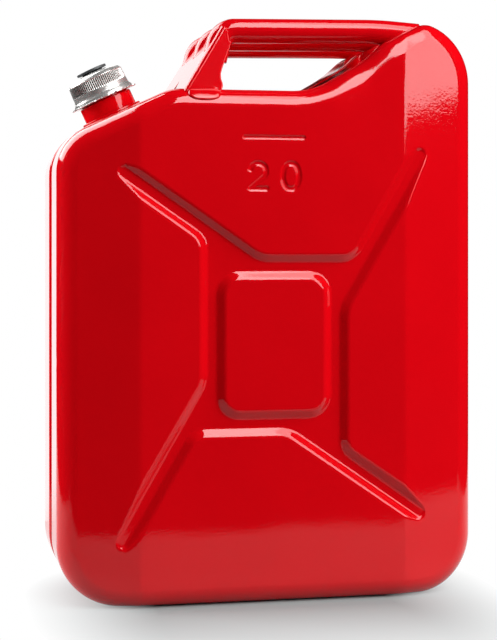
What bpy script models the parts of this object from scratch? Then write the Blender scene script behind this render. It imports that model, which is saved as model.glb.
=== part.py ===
"""Steel fuel can, 20 litre, with three handle bars and a knurled screw cap.

Two pressed halves meet in a recessed groove round the narrow sides. X runs to the right, Y to the
back and Z up. The origin is the middle of the flat base.
"""
import math

import bmesh
import bpy
import numpy as np
from mathutils import Matrix, Vector
from mathutils.geometry import delaunay_2d_cdt

MM = 0.001

# Body outline, seen from the front
WIDTH = 345 * MM
DEPTH = 165 * MM
HUMP_Z = 472 * MM
VALLEY_DROP = 59 * MM
BASE_CORNER_R = 48 * MM
HUMP_CORNER_R = 50 * MM
HUMP_WIDTH = 41 * MM
CREST_R = 18 * MM
BROW_BACK = 39.3 * MM
BROW_DROP = 19.3 * MM
BROW_R = 40 * MM
KNEE_BACK = 13.7 * MM
KNEE_RISE = 26 * MM
KNEE_R = 95 * MM
FLANK_FOOT_BACK = 45 * MM
FLANK_FOOT_R = 65 * MM
SHOULDER_RUN = 90 * MM
SHOULDER_ANGLE = math.radians(25)
SHOULDER_BREAK_R = 40 * MM
SHOULDER_CORNER_R = 40 * MM

# Pressed halves
SHEET = 1.0 * MM
RIM_GAP = 0.3 * MM
EDGE_R = 16 * MM
GROOVE_DEPTH = 6 * MM
GROOVE_FLOOR = 10 * MM
GROOVE_WALL = 8 * MM
BEAD_WIDTH = 4.4 * MM
BEAD_HEIGHT = 1.4 * MM
BAND_WIDTH = 63.5 * MM
BAND_ANGLE = math.radians(12.5)

# Pressed X and its raised square
PRESS_Z = 207.2 * MM
PRESS_DEPTH = 4.6 * MM
PRESS_WALL = 6.4 * MM
FLOOR_WIDTH = 7.2 * MM
SQUARE_W = 94.4 * MM
SQUARE_H = 118.4 * MM
SQUARE_R = 19 * MM
SHALLOW_ARM_ANGLE = math.radians(34.7)
STEEP_ARM_ANGLE = math.radians(59.6)
SHALLOW_ARM_START = 13.5 * MM
STEEP_ARM_START = 31 * MM
ARM_PAST_CREASE = 16 * MM
PANEL_FLAT_R = 30 * MM
PANEL_CORNER_R = 21 * MM

# Filler neck, measured along its own axis from the shoulder
NECK_RUN = 51.7 * MM
NECK_TILT = SHOULDER_ANGLE
NECK_R = 22.6 * MM
NECK_WALL = 1.5 * MM
NECK_STEP_H = 15.6 * MM
NECK_TOP_H = 31.7 * MM
NECK_INSIDE = 5 * MM
THREAD_R = 21.3 * MM
COLLAR_R = 25.9 * MM
COLLAR_H = 3.0 * MM
NECK_WELD_SIZE = 1.8 * MM
FLAT_MARGIN = 6 * MM
FLAT_RAMP = 10 * MM

# Cap, measured up from its brim
CAP_FOOT_H = 16.3 * MM
CAP_R = 24.3 * MM
CAP_WALL = 1.0 * MM
CAP_H = 23.3 * MM
CAP_SHOULDER = 5.3 * MM
BRIM_R = 28.8 * MM
BRIM_SHEET = 1.2 * MM
BRIM_LUGS = 14
BRIM_NOTCH = 1.6 * MM
INSERT_WALL = 1.0 * MM
GASKET_T = 2.5 * MM
PLATE_T = 1.0 * MM
TOP_DISC_R = 12.9 * MM
TOP_DISC_T = 2.0 * MM
RIVET_R = 3.5 * MM
RIVET_HEAD_R = 7.0 * MM
THREAD_CLEARANCE = 0.4 * MM
STEM_CLEARANCE = 0.7 * MM

# Handle
BAR_R = 10 * MM
BAR_WALL = 1.2 * MM
BAR_PITCH = 53 * MM
BAR_BEND_R = 14 * MM
BAR_SINK_ANGLE = math.radians(18)
BAR_PROUD = 3.0 * MM
BAR_SHORT_OF_CREST = 3.5 * MM
BAR_RISE = math.radians(1.2)
BAR_DROOP = 2.2 * MM
LEG_ANGLE = math.radians(58.5)
LEG_PAST_BREAK = 10.5 * MM
LEG_SHEET = 1.6 * MM
CHEEK_SETBACK = 6.5 * MM
LEG_TAPER = 20 * MM
LEG_LENGTH = 61 * MM
LEG_FOLD_R = 3.5 * MM
CHEEK_FOOT = 25.4 * MM
CHEEK_WAIST = 18 * MM
CHEEK_TOP = 12 * MM
LEG_NOTCH_W = 22 * MM
LEG_NOTCH_H = 13 * MM
FOOT_LENGTH = 26 * MM
FOOT_WIDTH = 13.8 * MM
FOOT_SETBACK = 2 * MM
FOOT_SHEET = 1.5 * MM

# Vent inside the can
VENT_R = 5.5 * MM
VENT_WALL = 1.0 * MM
VENT_DROP = 20 * MM
VENT_BELOW_TOP = 20 * MM
VENT_BEND_R = 22 * MM
VENT_NECK_BEND_R = 12 * MM
VENT_IN_NECK = 8 * MM
VENT_LEVEL_START = 25 * MM
VENT_RISE_BACK = 4 * MM
VENT_END_BACK = 9.4 * MM
VENT_END_DROP = 34 * MM
CLIP_WIDTH = 12 * MM
CLIP_SHEET = 1.5 * MM

SEAT_GAP = 0.3 * MM
TURN_STEP = math.radians(11.5)
ROUND_STEPS = 28

HALF_W = WIDTH / 2
HALF_D = DEPTH / 2
VALLEY_Z = HUMP_Z - VALLEY_DROP
CREASE_X = HALF_W - BAND_WIDTH
BAND_SLOPE = math.tan(BAND_ANGLE)
CREST_X = HALF_W - HUMP_WIDTH
HUMP_FALL = 2 * math.atan(max(0.0, HUMP_CORNER_R - HUMP_WIDTH) / HUMP_CORNER_R)
BROW_X = CREST_X - BROW_BACK
KNEE_X = BROW_X - KNEE_BACK
FLANK_FOOT_X = KNEE_X - FLANK_FOOT_BACK
SHOULDER_BREAK_X = -HALF_W + SHOULDER_RUN
SHOULDER_FOOT_Z = VALLEY_Z - SHOULDER_RUN * math.tan(SHOULDER_ANGLE)
NECK_X = -HALF_W + NECK_RUN
NECK_Z = SHOULDER_FOOT_Z + NECK_RUN * math.tan(SHOULDER_ANGLE)
LEG_FOOT_WIDTH = DEPTH - 2 * CHEEK_SETBACK
LEG_TOP_WIDTH = LEG_FOOT_WIDTH - LEG_TAPER


def clear_scene():
    """Empty the scene that the file opens with."""
    for old in list(bpy.data.objects):
        bpy.data.objects.remove(old, do_unlink=True)


def make_material(name, colour, roughness, metallic):
    """Plain surface: paint, plated steel, rubber and so on."""
    material = bpy.data.materials.new(name)
    material.use_nodes = True
    shader = material.node_tree.nodes["Principled BSDF"]
    shader.inputs["Base Color"].default_value = (*colour, 1.0)
    shader.inputs["Roughness"].default_value = roughness
    shader.inputs["Metallic"].default_value = metallic
    return material


def add_object(name, mesh, material, parent=None, smooth_angle=40):
    """Put a mesh in the scene under a part's name, smooth on its round faces."""
    item = bpy.data.objects.new(name, mesh)
    bpy.context.collection.objects.link(item)
    mesh.shade_smooth()
    mesh.set_sharp_from_angle(angle=math.radians(smooth_angle))
    if material:
        mesh.materials.append(material)
    item.parent = parent
    return item


def mesh_from(verts, faces, name, closed=True):
    """Build a mesh; a closed one gets its doubles merged and its faces turned outwards."""
    mesh = bpy.data.meshes.new(name)
    mesh.from_pydata([tuple(v) for v in verts], [], [tuple(f) for f in faces])
    shape = bmesh.new()
    shape.from_mesh(mesh)
    bmesh.ops.remove_doubles(shape, verts=shape.verts, dist=0.000005)
    if closed:
        bmesh.ops.recalc_face_normals(shape, faces=shape.faces)
    shape.to_mesh(mesh)
    shape.free()
    return mesh


def combine(target, tool, operation):
    """Join or cut with another object, which is kept as a hidden wire guide."""
    modifier = target.modifiers.new(tool.name, "BOOLEAN")
    modifier.operation = operation
    modifier.object = tool
    modifier.solver = "EXACT"
    tool.hide_render = True
    tool.display_type = "WIRE"


def rounded_outline(corners, stops=(), turn_step=TURN_STEP):
    """Closed line round (x, z, radius) corners, counter-clockwise seen from the front.

    Returns its points and outward normals. A fillet is limited by the walls beside it. Straight
    runs get a point wherever they cross one of the x values in stops.
    """
    count = len(corners)
    places = [Vector(c[:2]) for c in corners]
    points, normals = [], []
    last_end = None
    arcs = []
    for i in range(count):
        into, out_of = places[i] - places[i - 1], places[(i + 1) % count] - places[i]
        arrive, leave = into.normalized(), out_of.normalized()
        turn = math.atan2(arrive.x * leave.y - arrive.y * leave.x, arrive.dot(leave))
        shorter = min(into.length, out_of.length)
        reach = corners[i][2] * math.tan(abs(turn) / 2)
        reach = min(reach, 0.49 * shorter) if reach > shorter else reach
        arcs.append((arrive, turn, reach, reach / math.tan(abs(turn) / 2)))
    for i in range(count):
        arrive, turn, reach, radius = arcs[i]
        side = 1 if turn > 0 else -1
        start = places[i] - arrive * reach
        outward = Vector((arrive.y, -arrive.x))
        centre = start - outward * radius * side
        if last_end is None:
            previous = arcs[i - 1]
            leave = (places[i] - places[i - 1]).normalized()
            last_end = places[i - 1] + leave * previous[2]
        run = start - last_end
        crossings = []
        for stop in stops:
            if abs(run.x) > 1e-6:
                share = (stop - last_end.x) / run.x
                if 0.02 < share < 0.98:
                    crossings.append(share)
        for share in sorted(crossings):
            points.append(last_end + run * share)
            normals.append(outward.copy())
        steps = max(2, math.ceil(abs(turn) / turn_step))
        for k in range(steps + 1):
            swing = Matrix.Rotation(turn * k / steps, 2)
            normal = swing @ outward
            points.append(centre + normal * radius * side)
            normals.append(normal)
        last_end = points[-1]
    return np.array([tuple(p) for p in points]), np.array([tuple(n) for n in normals])


def body_outline():
    """Outline of the can at its seam, with points where the creases and the neck need them."""
    corners = [
        (-HALF_W, 0.0, BASE_CORNER_R),
        (HALF_W, 0.0, BASE_CORNER_R),
        (HALF_W, HUMP_Z - HUMP_WIDTH * math.tan(HUMP_FALL), HUMP_CORNER_R),
        (CREST_X, HUMP_Z, CREST_R),
        (BROW_X, HUMP_Z - BROW_DROP, BROW_R),
        (KNEE_X, VALLEY_Z + KNEE_RISE, KNEE_R),
        (FLANK_FOOT_X, VALLEY_Z, FLANK_FOOT_R),
        (SHOULDER_BREAK_X, VALLEY_Z, SHOULDER_BREAK_R),
        (-HALF_W, SHOULDER_FOOT_Z, SHOULDER_CORNER_R),
    ]
    edge_shift = EDGE_R * math.sin(SHOULDER_ANGLE)
    flat = (COLLAR_R + FLAT_MARGIN) * math.cos(SHOULDER_ANGLE)
    stops = [-CREASE_X, CREASE_X, -CREASE_X - edge_shift, NECK_X, NECK_X + flat, NECK_X - 0.75 * flat]
    return rounded_outline(corners, stops)


def signed_distance(points, loop):
    """Distance of each point to a closed line of points, negative inside it."""
    start = loop
    edge = np.roll(loop, -1, axis=0) - loop
    to_point = points[:, None, :] - start[None, :, :]
    along = np.sum(to_point * edge, axis=2) / np.sum(edge * edge, axis=1)
    along = np.clip(along, 0, 1)
    away = to_point - along[..., None] * edge
    distance = np.sqrt(np.min(np.sum(away * away, axis=2), axis=1))
    x0, z0 = start[:, 0], start[:, 1]
    x1, z1 = x0 + edge[:, 0], z0 + edge[:, 1]
    px, pz = points[:, 0:1], points[:, 1:2]
    spans = (z0 > pz) != (z1 > pz)
    rise = np.where(z1 == z0, 1.0, z1 - z0)
    hits = spans & (px < (x1 - x0) * (pz - z0) / rise + x0)
    inside = np.sum(hits, axis=1) % 2 == 1
    return np.where(inside, -distance, distance)


def arm_edge(start, angle, side, length):
    """One floor edge of an arm: its far end on the given side of the arm's middle line."""
    heading = Vector((math.cos(angle), math.sin(angle)))
    across = Vector((-heading.y, heading.x)) * side * FLOOR_WIDTH / 2
    return start + heading * length + across, start + across, heading


def meet(point_a, way_a, point_b, way_b):
    """Where two lines in the face plane cross."""
    det = way_a.x * way_b.y - way_a.y * way_b.x
    gap = point_b - point_a
    return point_a + way_a * (gap.x * way_b.y - gap.y * way_b.x) / det


def press_floor_corners():
    """Corners of the sunk X's floor: half of them, then the same half turned by 180 degrees."""
    half_floor = FLOOR_WIDTH / 2
    ring_x = SQUARE_W / 2 + half_floor
    ring_z = SQUARE_H / 2 + half_floor
    end_x = CREASE_X + ARM_PAST_CREASE
    shallow = math.pi - SHALLOW_ARM_ANGLE
    shallow_start = Vector((-SHALLOW_ARM_START, ring_z))
    shallow_length = (end_x - SHALLOW_ARM_START) / math.cos(SHALLOW_ARM_ANGLE)
    steep_start = Vector((ring_x, STEEP_ARM_START))
    steep_length = (end_x - ring_x) / math.cos(STEEP_ARM_ANGLE)
    upper_tip, upper_foot, shallow_way = arm_edge(shallow_start, shallow, -1, shallow_length)
    lower_tip, lower_foot, shallow_way = arm_edge(shallow_start, shallow, 1, shallow_length)
    left_tip, left_foot, steep_way = arm_edge(steep_start, STEEP_ARM_ANGLE, 1, steep_length)
    right_tip, right_foot, steep_way = arm_edge(steep_start, STEEP_ARM_ANGLE, -1, steep_length)
    level = Vector((1, 0))
    upright = Vector((0, 1))
    top_line = Vector((0, ring_z + half_floor))
    left_line = Vector((-ring_x - half_floor, 0))
    right_line = Vector((ring_x + half_floor, 0))
    tip_r = half_floor * 0.98
    top_left = meet(upper_foot, shallow_way, top_line, level)
    top_right = meet(left_foot, steep_way, top_line, level)
    right_knee = meet(right_foot, steep_way, right_line, upright)
    left_knee = meet(lower_foot, shallow_way, left_line, upright)
    half = [
        (*right_knee, PANEL_FLAT_R),
        (*right_tip, tip_r),
        (*left_tip, tip_r),
        (*top_right, PANEL_CORNER_R),
        (*top_left, PANEL_FLAT_R),
        (*upper_tip, tip_r),
        (*lower_tip, tip_r),
        (*left_knee, PANEL_CORNER_R),
    ]
    corners = half + [(-x, -z, r) for x, z, r in half]
    return [(x, z + PRESS_Z, r) for x, z, r in corners]


def square_corners(grow):
    """Corners of the raised square, grown or shrunk all round."""
    x, z, r = SQUARE_W / 2 + grow, SQUARE_H / 2 + grow, SQUARE_R + grow
    return [(-x, PRESS_Z - z, r), (x, PRESS_Z - z, r), (x, PRESS_Z + z, r), (-x, PRESS_Z + z, r)]


def band_drop(x):
    """How far the bevelled side bands fall back from the flat middle of the face."""
    return np.maximum(np.abs(x) - CREASE_X, 0) * BAND_SLOPE


class Pressing:
    """The sunk X round a raised square: its outlines and its depth anywhere on the face."""

    def __init__(self):
        stops = [-CREASE_X - PRESS_WALL, -CREASE_X, -CREASE_X + PRESS_WALL,
                 CREASE_X - PRESS_WALL, CREASE_X, CREASE_X + PRESS_WALL]
        self.floor, normals = rounded_outline(press_floor_corners(), stops, math.radians(20))
        self.square_foot = rounded_outline(square_corners(0), (), math.radians(22.5))[0]
        self.square_top = rounded_outline(square_corners(-PRESS_WALL), (), math.radians(22.5))[0]
        self.edge = self.panel_edge(self.floor, normals)

    @staticmethod
    def panel_edge(floor, normals):
        """Top of the wall: a wall of constant slope, so it narrows where the bands fall back."""
        side = np.sign(floor[:, 0])
        past = np.abs(floor[:, 0]) - CREASE_X
        lean = side * normals[:, 0]
        fall = BAND_SLOPE / PRESS_DEPTH
        width = PRESS_WALL * (1 - past * fall) / (1 + PRESS_WALL * lean * fall)
        width = np.where(past + lean * PRESS_WALL < 0, PRESS_WALL, width)
        width = np.clip(width, 0.1 * MM, PRESS_WALL)
        return floor + normals * width[:, None]

    def depth(self, points):
        """Depth below the flat face: the floor, its sloped walls, or the bands where they are lower."""
        outside = signed_distance(points, self.floor)
        inside_square = -signed_distance(points, self.square_foot)
        climb = np.maximum(np.maximum(outside, inside_square), 0) / PRESS_WALL
        sunk = PRESS_DEPTH * (1 - np.clip(climb, 0, 1))
        return np.maximum(sunk, band_drop(points[:, 0]))


def groove_share(outline):
    """1 where the seam groove has its full depth, 0 where the shoulder is flat for the neck."""
    away = np.hypot(outline[:, 0] - NECK_X, outline[:, 1] - NECK_Z)
    ramp = np.clip((away - COLLAR_R - FLAT_MARGIN) / FLAT_RAMP, 0, 1)
    return ramp * ramp * (3 - 2 * ramp)


def half_rings(outline, normals, grow, rim):
    """Rings of one half from its rim to its face: points and distance from the seam plane."""
    share = groove_share(outline)
    rings = []

    def ring(inset, out):
        spots = outline - normals * inset[:, None]
        rings.append((spots, np.broadcast_to(out, len(outline))))

    full = np.ones(len(outline))
    floor = share * GROOVE_DEPTH - grow
    ring(floor, rim)
    for step in (0.0, 0.33, 0.67, 1.0):
        ease = step * step * (3 - 2 * step)
        ring(floor * (1 - ease) - grow * ease, GROOVE_FLOOR / 2 + GROOVE_WALL * step)
    for angle in np.radians([0, 22.5, 45, 67.5, 90]):
        inset = EDGE_R - (EDGE_R + grow) * math.cos(angle)
        spots = outline - normals * inset
        out = HALF_D - band_drop(spots[:, 0]) - EDGE_R + (EDGE_R + grow) * math.sin(angle)
        ring(inset * full, out)
    return rings


def half_skin(outline, normals, grow, rim, pressing):
    """Outer surface of one half as (x, out, z) points and faces, open at the rim."""
    verts, faces = [], []
    rings = half_rings(outline, normals, grow, rim)
    size = len(outline)
    for spots, out in rings:
        verts += [(x, o, z) for (x, z), o in zip(spots, out)]
    for level in range(len(rings) - 1):
        for i in range(size):
            here, there = level * size + i, level * size + (i + 1) % size
            faces.append((here, there, there + size, here + size))
    face_ring = rings[-1][0]
    base = (len(rings) - 1) * size
    loops = [face_ring]
    creases = []
    if pressing:
        loops += [pressing.edge, pressing.floor, pressing.square_foot, pressing.square_top]
    for x in (-CREASE_X, CREASE_X):
        gap = 2 * MM
        column = face_ring[np.argsort(np.abs(face_ring[:, 0] - x))[:6], 1]
        creases.append(((x, column.min() + gap), (x, column.max() - gap)))
    flat_points, edges = [], []
    for loop in loops:
        first = len(flat_points)
        flat_points += [Vector(p) / MM for p in loop]
        edges += [(first + i, first + (i + 1) % len(loop)) for i in range(len(loop))]
    for low, high in creases:
        first = len(flat_points)
        flat_points += [Vector(low) / MM, Vector(high) / MM]
        edges.append((first, first + 1))
    spots, _, triangles, origin, _, _ = delaunay_2d_cdt(flat_points, edges, [], 1, 0.001)
    spots = np.array([tuple(p) for p in spots]) * MM
    depth = pressing.depth(spots) if pressing else band_drop(spots[:, 0])
    places = []
    for i, spot in enumerate(spots):
        on_ring = [k for k in origin[i] if k < size]
        if on_ring:
            places.append(base + on_ring[0])
            continue
        places.append(len(verts))
        verts.append((spot[0], HALF_D + grow - depth[i], spot[1]))
    for triangle in triangles:
        faces.append(tuple(places[k] for k in triangle))
    return verts, faces


def make_shell(name, outline, normals, pressing, front, material, hole):
    """One pressed half: a thin sheet with the pressing, the rounded edge and the seam groove."""
    verts, faces = half_skin(outline, normals, 0.0, RIM_GAP / 2, pressing)
    side = -1 if front else 1
    verts = [(x, side * out, z) for x, out, z in verts]
    if not front:
        faces = [tuple(reversed(face)) for face in faces]
    shell = add_object(name, mesh_from(verts, faces, name, closed=False), material, smooth_angle=28)
    sheet = shell.modifiers.new("sheet", "SOLIDIFY")
    sheet.thickness = SHEET
    sheet.offset = -1
    sheet.use_even_offset = True
    combine(shell, hole, "DIFFERENCE")
    return shell


def make_envelope(name, outline, normals, grow):
    """Closed outer form of the can, grown by a clearance, used to cut what seats on it."""
    verts, faces = half_skin(outline, normals, grow, 0.0, None)
    size = len(verts)
    both = [(x, -out, z) for x, out, z in verts] + [(x, out, z) for x, out, z in verts]
    rear = [tuple(size + i for i in reversed(face)) for face in faces]
    return add_object(name, mesh_from(both, faces + rear, name), None)


def turned(name, profile, material, parent, steps=ROUND_STEPS, lift=0.0):
    """Round piece: a closed profile of (radius, height) points spun about its own upright axis."""
    shape = bmesh.new()
    verts = [shape.verts.new((r, 0, h + lift)) for r, h in profile]
    edges = [shape.edges.new((verts[i], verts[(i + 1) % len(verts)])) for i in range(len(verts))]
    edges = [e for e in edges if e.verts[0].co.x > 1e-7 or e.verts[1].co.x > 1e-7]
    bmesh.ops.spin(shape, geom=verts + edges, cent=(0, 0, 0), axis=(0, 0, 1),
                   angle=2 * math.pi, steps=steps, use_merge=True)
    bmesh.ops.remove_doubles(shape, verts=shape.verts, dist=0.000005)
    loose = [e for e in shape.edges if not e.link_faces]
    bmesh.ops.delete(shape, geom=loose, context="EDGES")
    bmesh.ops.recalc_face_normals(shape, faces=shape.faces)
    mesh = bpy.data.meshes.new(name)
    shape.to_mesh(mesh)
    shape.free()
    return add_object(name, mesh, material, parent)


def tube_mesh(name, path, radius, y=0.0, sides=14):
    """Closed round bar along a path of (x, z) points in an upright plane."""
    path = np.array(path, dtype=float)
    ways = np.gradient(path, axis=0)
    ways /= np.linalg.norm(ways, axis=1)[:, None]
    verts, faces = [], []
    for (x, z), (wx, wz) in zip(path, ways):
        for k in range(sides):
            swing = 2 * math.pi * k / sides
            up, across = radius * math.cos(swing), radius * math.sin(swing)
            verts.append((x - wz * up, y + across, z + wx * up))
    for i in range(len(path) - 1):
        for k in range(sides):
            here, there = i * sides + k, i * sides + (k + 1) % sides
            faces.append((here, there, there + sides, here + sides))
    faces.append(tuple(range(sides)))
    faces.append(tuple(reversed(range((len(path) - 1) * sides, len(path) * sides))))
    return mesh_from(verts, faces, name)


def bent_path(corners, steps=5):
    """Open path through (x, z, radius) corners, each middle corner an arc."""
    places = [Vector(c[:2]) for c in corners]
    path = [places[0]]
    for i in range(1, len(places) - 1):
        arrive = (places[i] - places[i - 1]).normalized()
        leave = (places[i + 1] - places[i]).normalized()
        turn = math.atan2(arrive.x * leave.y - arrive.y * leave.x, arrive.dot(leave))
        side = 1 if turn > 0 else -1
        radius = corners[i][2]
        start = places[i] - arrive * radius * math.tan(abs(turn) / 2)
        out = Vector((arrive.y, -arrive.x)) * side
        centre = start - out * radius
        for k in range(steps + 1):
            path.append(centre + (Matrix.Rotation(turn * k / steps, 2) @ out) * radius)
    path.append(places[-1])
    return [tuple(p) for p in path]


def prism(name, outline, y_low, y_high):
    """Upright prism: an (x, z) outline carried from one depth to another."""
    count = len(outline)
    verts = [(x, y, z) for y in (y_low, y_high) for x, z in outline]
    faces = [tuple(range(count)), tuple(range(2 * count - 1, count - 1, -1))]
    faces += [(i, (i + 1) % count, count + (i + 1) % count, count + i) for i in range(count)]
    return add_object(name, mesh_from(verts, faces, name), None)


def neck_frame():
    """Empty on the neck's axis, which the neck and every piece of the cap hang on."""
    frame = bpy.data.objects.new("neck_axis", None)
    bpy.context.collection.objects.link(frame)
    frame.location = (NECK_X, 0, NECK_Z)
    frame.rotation_euler = (0, -NECK_TILT, 0)
    return frame


def make_neck(frame, paint, envelope):
    """Painted neck tube through the shoulder, its collar and the weld round it."""
    bore, mouth = NECK_R - NECK_WALL, THREAD_R - NECK_WALL
    turned("neck_tube", [
        (NECK_R, -NECK_INSIDE), (NECK_R, NECK_STEP_H - 0.7 * MM), (NECK_R - 0.7 * MM, NECK_STEP_H),
        (THREAD_R, NECK_STEP_H), (THREAD_R, NECK_TOP_H - 0.7 * MM), (THREAD_R - 0.7 * MM, NECK_TOP_H),
        (mouth, NECK_TOP_H), (mouth, NECK_STEP_H), (bore, NECK_STEP_H - 2.5 * MM), (bore, -NECK_INSIDE),
    ], paint, frame)
    below = -6 * MM
    collar = turned("neck_collar", [
        (NECK_R + SEAT_GAP, below), (COLLAR_R, below), (COLLAR_R, COLLAR_H - 1 * MM),
        (COLLAR_R - 1 * MM, COLLAR_H), (NECK_R + SEAT_GAP, COLLAR_H),
    ], paint, frame)
    combine(collar, envelope, "DIFFERENCE")
    inner = COLLAR_R + SEAT_GAP
    weld = turned("neck_weld", [
        (inner, below), (inner + 2.4 * NECK_WELD_SIZE, below),
        (inner + 0.9 * NECK_WELD_SIZE, 0.55 * NECK_WELD_SIZE), (inner, NECK_WELD_SIZE),
    ], paint, frame)
    combine(weld, envelope, "DIFFERENCE")


def brim_mesh(name):
    """Flat ring with lugs round its rim, each lug as wide as the notch beside it."""
    verts, faces = [], []
    inner = THREAD_R + THREAD_CLEARANCE
    angles = []
    for lug in range(BRIM_LUGS):
        first = 2 * math.pi * lug / BRIM_LUGS
        span = 2 * math.pi / BRIM_LUGS
        for share, radius in ((0.0, BRIM_R), (0.5, BRIM_R), (0.56, BRIM_R - BRIM_NOTCH),
                              (0.94, BRIM_R - BRIM_NOTCH)):
            angles.append((first + span * share, radius))
    for angle, radius in angles:
        for r, h in ((inner, 0), (radius, 0), (radius, BRIM_SHEET), (inner, BRIM_SHEET)):
            verts.append((r * math.cos(angle), r * math.sin(angle), h + CAP_FOOT_H))
    count = len(angles)
    for i in range(count):
        j = (i + 1) % count
        for k in range(4):
            m = (k + 1) % 4
            faces.append((4 * i + k, 4 * j + k, 4 * j + m, 4 * i + m))
    return mesh_from(verts, faces, name)


def make_cap(frame, plated, dark, rubber):
    """Cap and what it carries, all turned about the neck's axis and lifted to the cap's foot."""
    foot = CAP_FOOT_H
    inner = CAP_R - CAP_WALL
    under_top = CAP_H - CAP_WALL
    hole = RIVET_R + STEM_CLEARANCE
    low = BRIM_SHEET + SEAT_GAP
    add_object("cap_brim", brim_mesh("cap_brim"), plated, frame)
    turned("cap_shell", [
        (CAP_R + 2.0 * MM, low), (CAP_R + 0.5 * MM, low + 1.6 * MM), (CAP_R, low + 3.4 * MM),
        (CAP_R, CAP_H - CAP_SHOULDER), (CAP_R - 1.1 * MM, CAP_H - 0.5 * CAP_SHOULDER),
        (CAP_R - 3.6 * MM, CAP_H - 0.19 * CAP_SHOULDER), (CAP_R - 7 * MM, CAP_H - 0.2 * MM),
        (hole, CAP_H), (hole, under_top), (inner - 6.4 * MM, under_top - 0.2 * MM),
        (inner - 3.1 * MM, CAP_H - 0.38 * CAP_SHOULDER), (inner - 0.9 * MM, CAP_H - 0.66 * CAP_SHOULDER),
        (inner, CAP_H - CAP_SHOULDER - 0.2 * MM), (inner, low + 3.6 * MM),
        (inner + 0.4 * MM, low + 1.9 * MM), (inner + 1.8 * MM, low),
    ], plated, frame, lift=foot)
    seat = NECK_TOP_H - foot
    thread_r = THREAD_R + THREAD_CLEARANCE
    outer = min(thread_r + INSERT_WALL, inner - SEAT_GAP)
    turned("cap_insert", [
        (outer, low), (outer, seat), (thread_r, seat), (thread_r, low),
    ], plated, frame, lift=foot)
    gasket_low = seat + SEAT_GAP
    gasket_top = gasket_low + GASKET_T
    gasket_in = THREAD_R - 9 * MM
    turned("cap_gasket", [
        (outer - 0.3 * MM, gasket_low), (outer - 0.3 * MM, gasket_top), (gasket_in, gasket_top),
        (gasket_in, gasket_low),
    ], rubber, frame, lift=foot)
    plate_low = gasket_top + SEAT_GAP
    plate_r = inner - 2.4 * MM
    turned("cap_plate", [
        (plate_r, plate_low), (plate_r, plate_low + PLATE_T),
        (hole, plate_low + PLATE_T), (hole, plate_low),
    ], plated, frame, steps=24, lift=foot)
    disc_low = CAP_H + SEAT_GAP
    disc_top = disc_low + 1.0 * MM + TOP_DISC_T
    boss_r = TOP_DISC_R - 4 * MM
    stem_hole = RIVET_R + SEAT_GAP
    turned("cap_top_disc", [
        (boss_r, disc_low), (boss_r, disc_low + 1 * MM), (TOP_DISC_R, disc_low + 1 * MM),
        (TOP_DISC_R, disc_top - 0.4 * MM), (TOP_DISC_R - 0.4 * MM, disc_top), (0, disc_top),
        (0, disc_top - 0.8 * MM), (stem_hole, disc_top - 0.8 * MM), (stem_hole, disc_low),
    ], dark, frame, steps=24, lift=foot)
    turned("cap_rivet", [
        (RIVET_HEAD_R, plate_low - SEAT_GAP - 1.2 * MM), (RIVET_HEAD_R, plate_low - SEAT_GAP),
        (RIVET_R, plate_low - SEAT_GAP), (RIVET_R, disc_top - 0.8 * MM - SEAT_GAP),
        (0, disc_top - 0.8 * MM - SEAT_GAP), (0, plate_low - SEAT_GAP - 1.2 * MM),
    ], plated, frame, steps=16, lift=foot)


def leg_point(along, lift):
    """Point of the leg's plane: along it from its foot, and off it towards the neck."""
    x = SHOULDER_BREAK_X + LEG_PAST_BREAK + along * math.cos(LEG_ANGLE) - lift * math.sin(LEG_ANGLE)
    z = VALLEY_Z + along * math.sin(LEG_ANGLE) + lift * math.cos(LEG_ANGLE)
    return x, z


def bar_path():
    """Middle line of a handle bar: level from the hump, then bent down to sink into the leg."""
    level = HUMP_Z - BAR_R
    steep = LEG_ANGLE + BAR_SINK_ANGLE
    foot = Vector(leg_point(0, 0))
    plane = Vector((-math.sin(LEG_ANGLE), math.cos(LEG_ANGLE)))
    down = Vector((-math.cos(steep), -math.sin(steep)))
    outward = Vector((-math.sin(steep), math.cos(steep)))
    reach = BAR_BEND_R * math.tan(steep / 2)
    # the ridge stands BAR_PROUD off the leg where the bend ends
    ridge = down * reach + outward * BAR_R
    x = ((foot.y - level - ridge.y) * plane.y + BAR_PROUD) / plane.x + foot.x - ridge.x
    corner = Vector((x, level))
    sink = BAR_PROUD / math.sin(BAR_SINK_ANGLE) + 4 * MM
    end = corner + down * (reach + sink)
    crest = Vector((BROW_X + 0.25 * BAR_R, 0))
    crest.y = level + (crest.x - corner.x) * math.tan(BAR_RISE)
    landing = (CREST_X - BAR_SHORT_OF_CREST, crest.y - BAR_DROOP)
    return bent_path([(*landing, 0), (*crest, 30 * BAR_R), (*corner, BAR_BEND_R), (*end, 0)])


def leg_split():
    """Distance up the leg where the bars stop lying on it and pass through notches in its top."""
    return 0.6 * LEG_LENGTH


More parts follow.
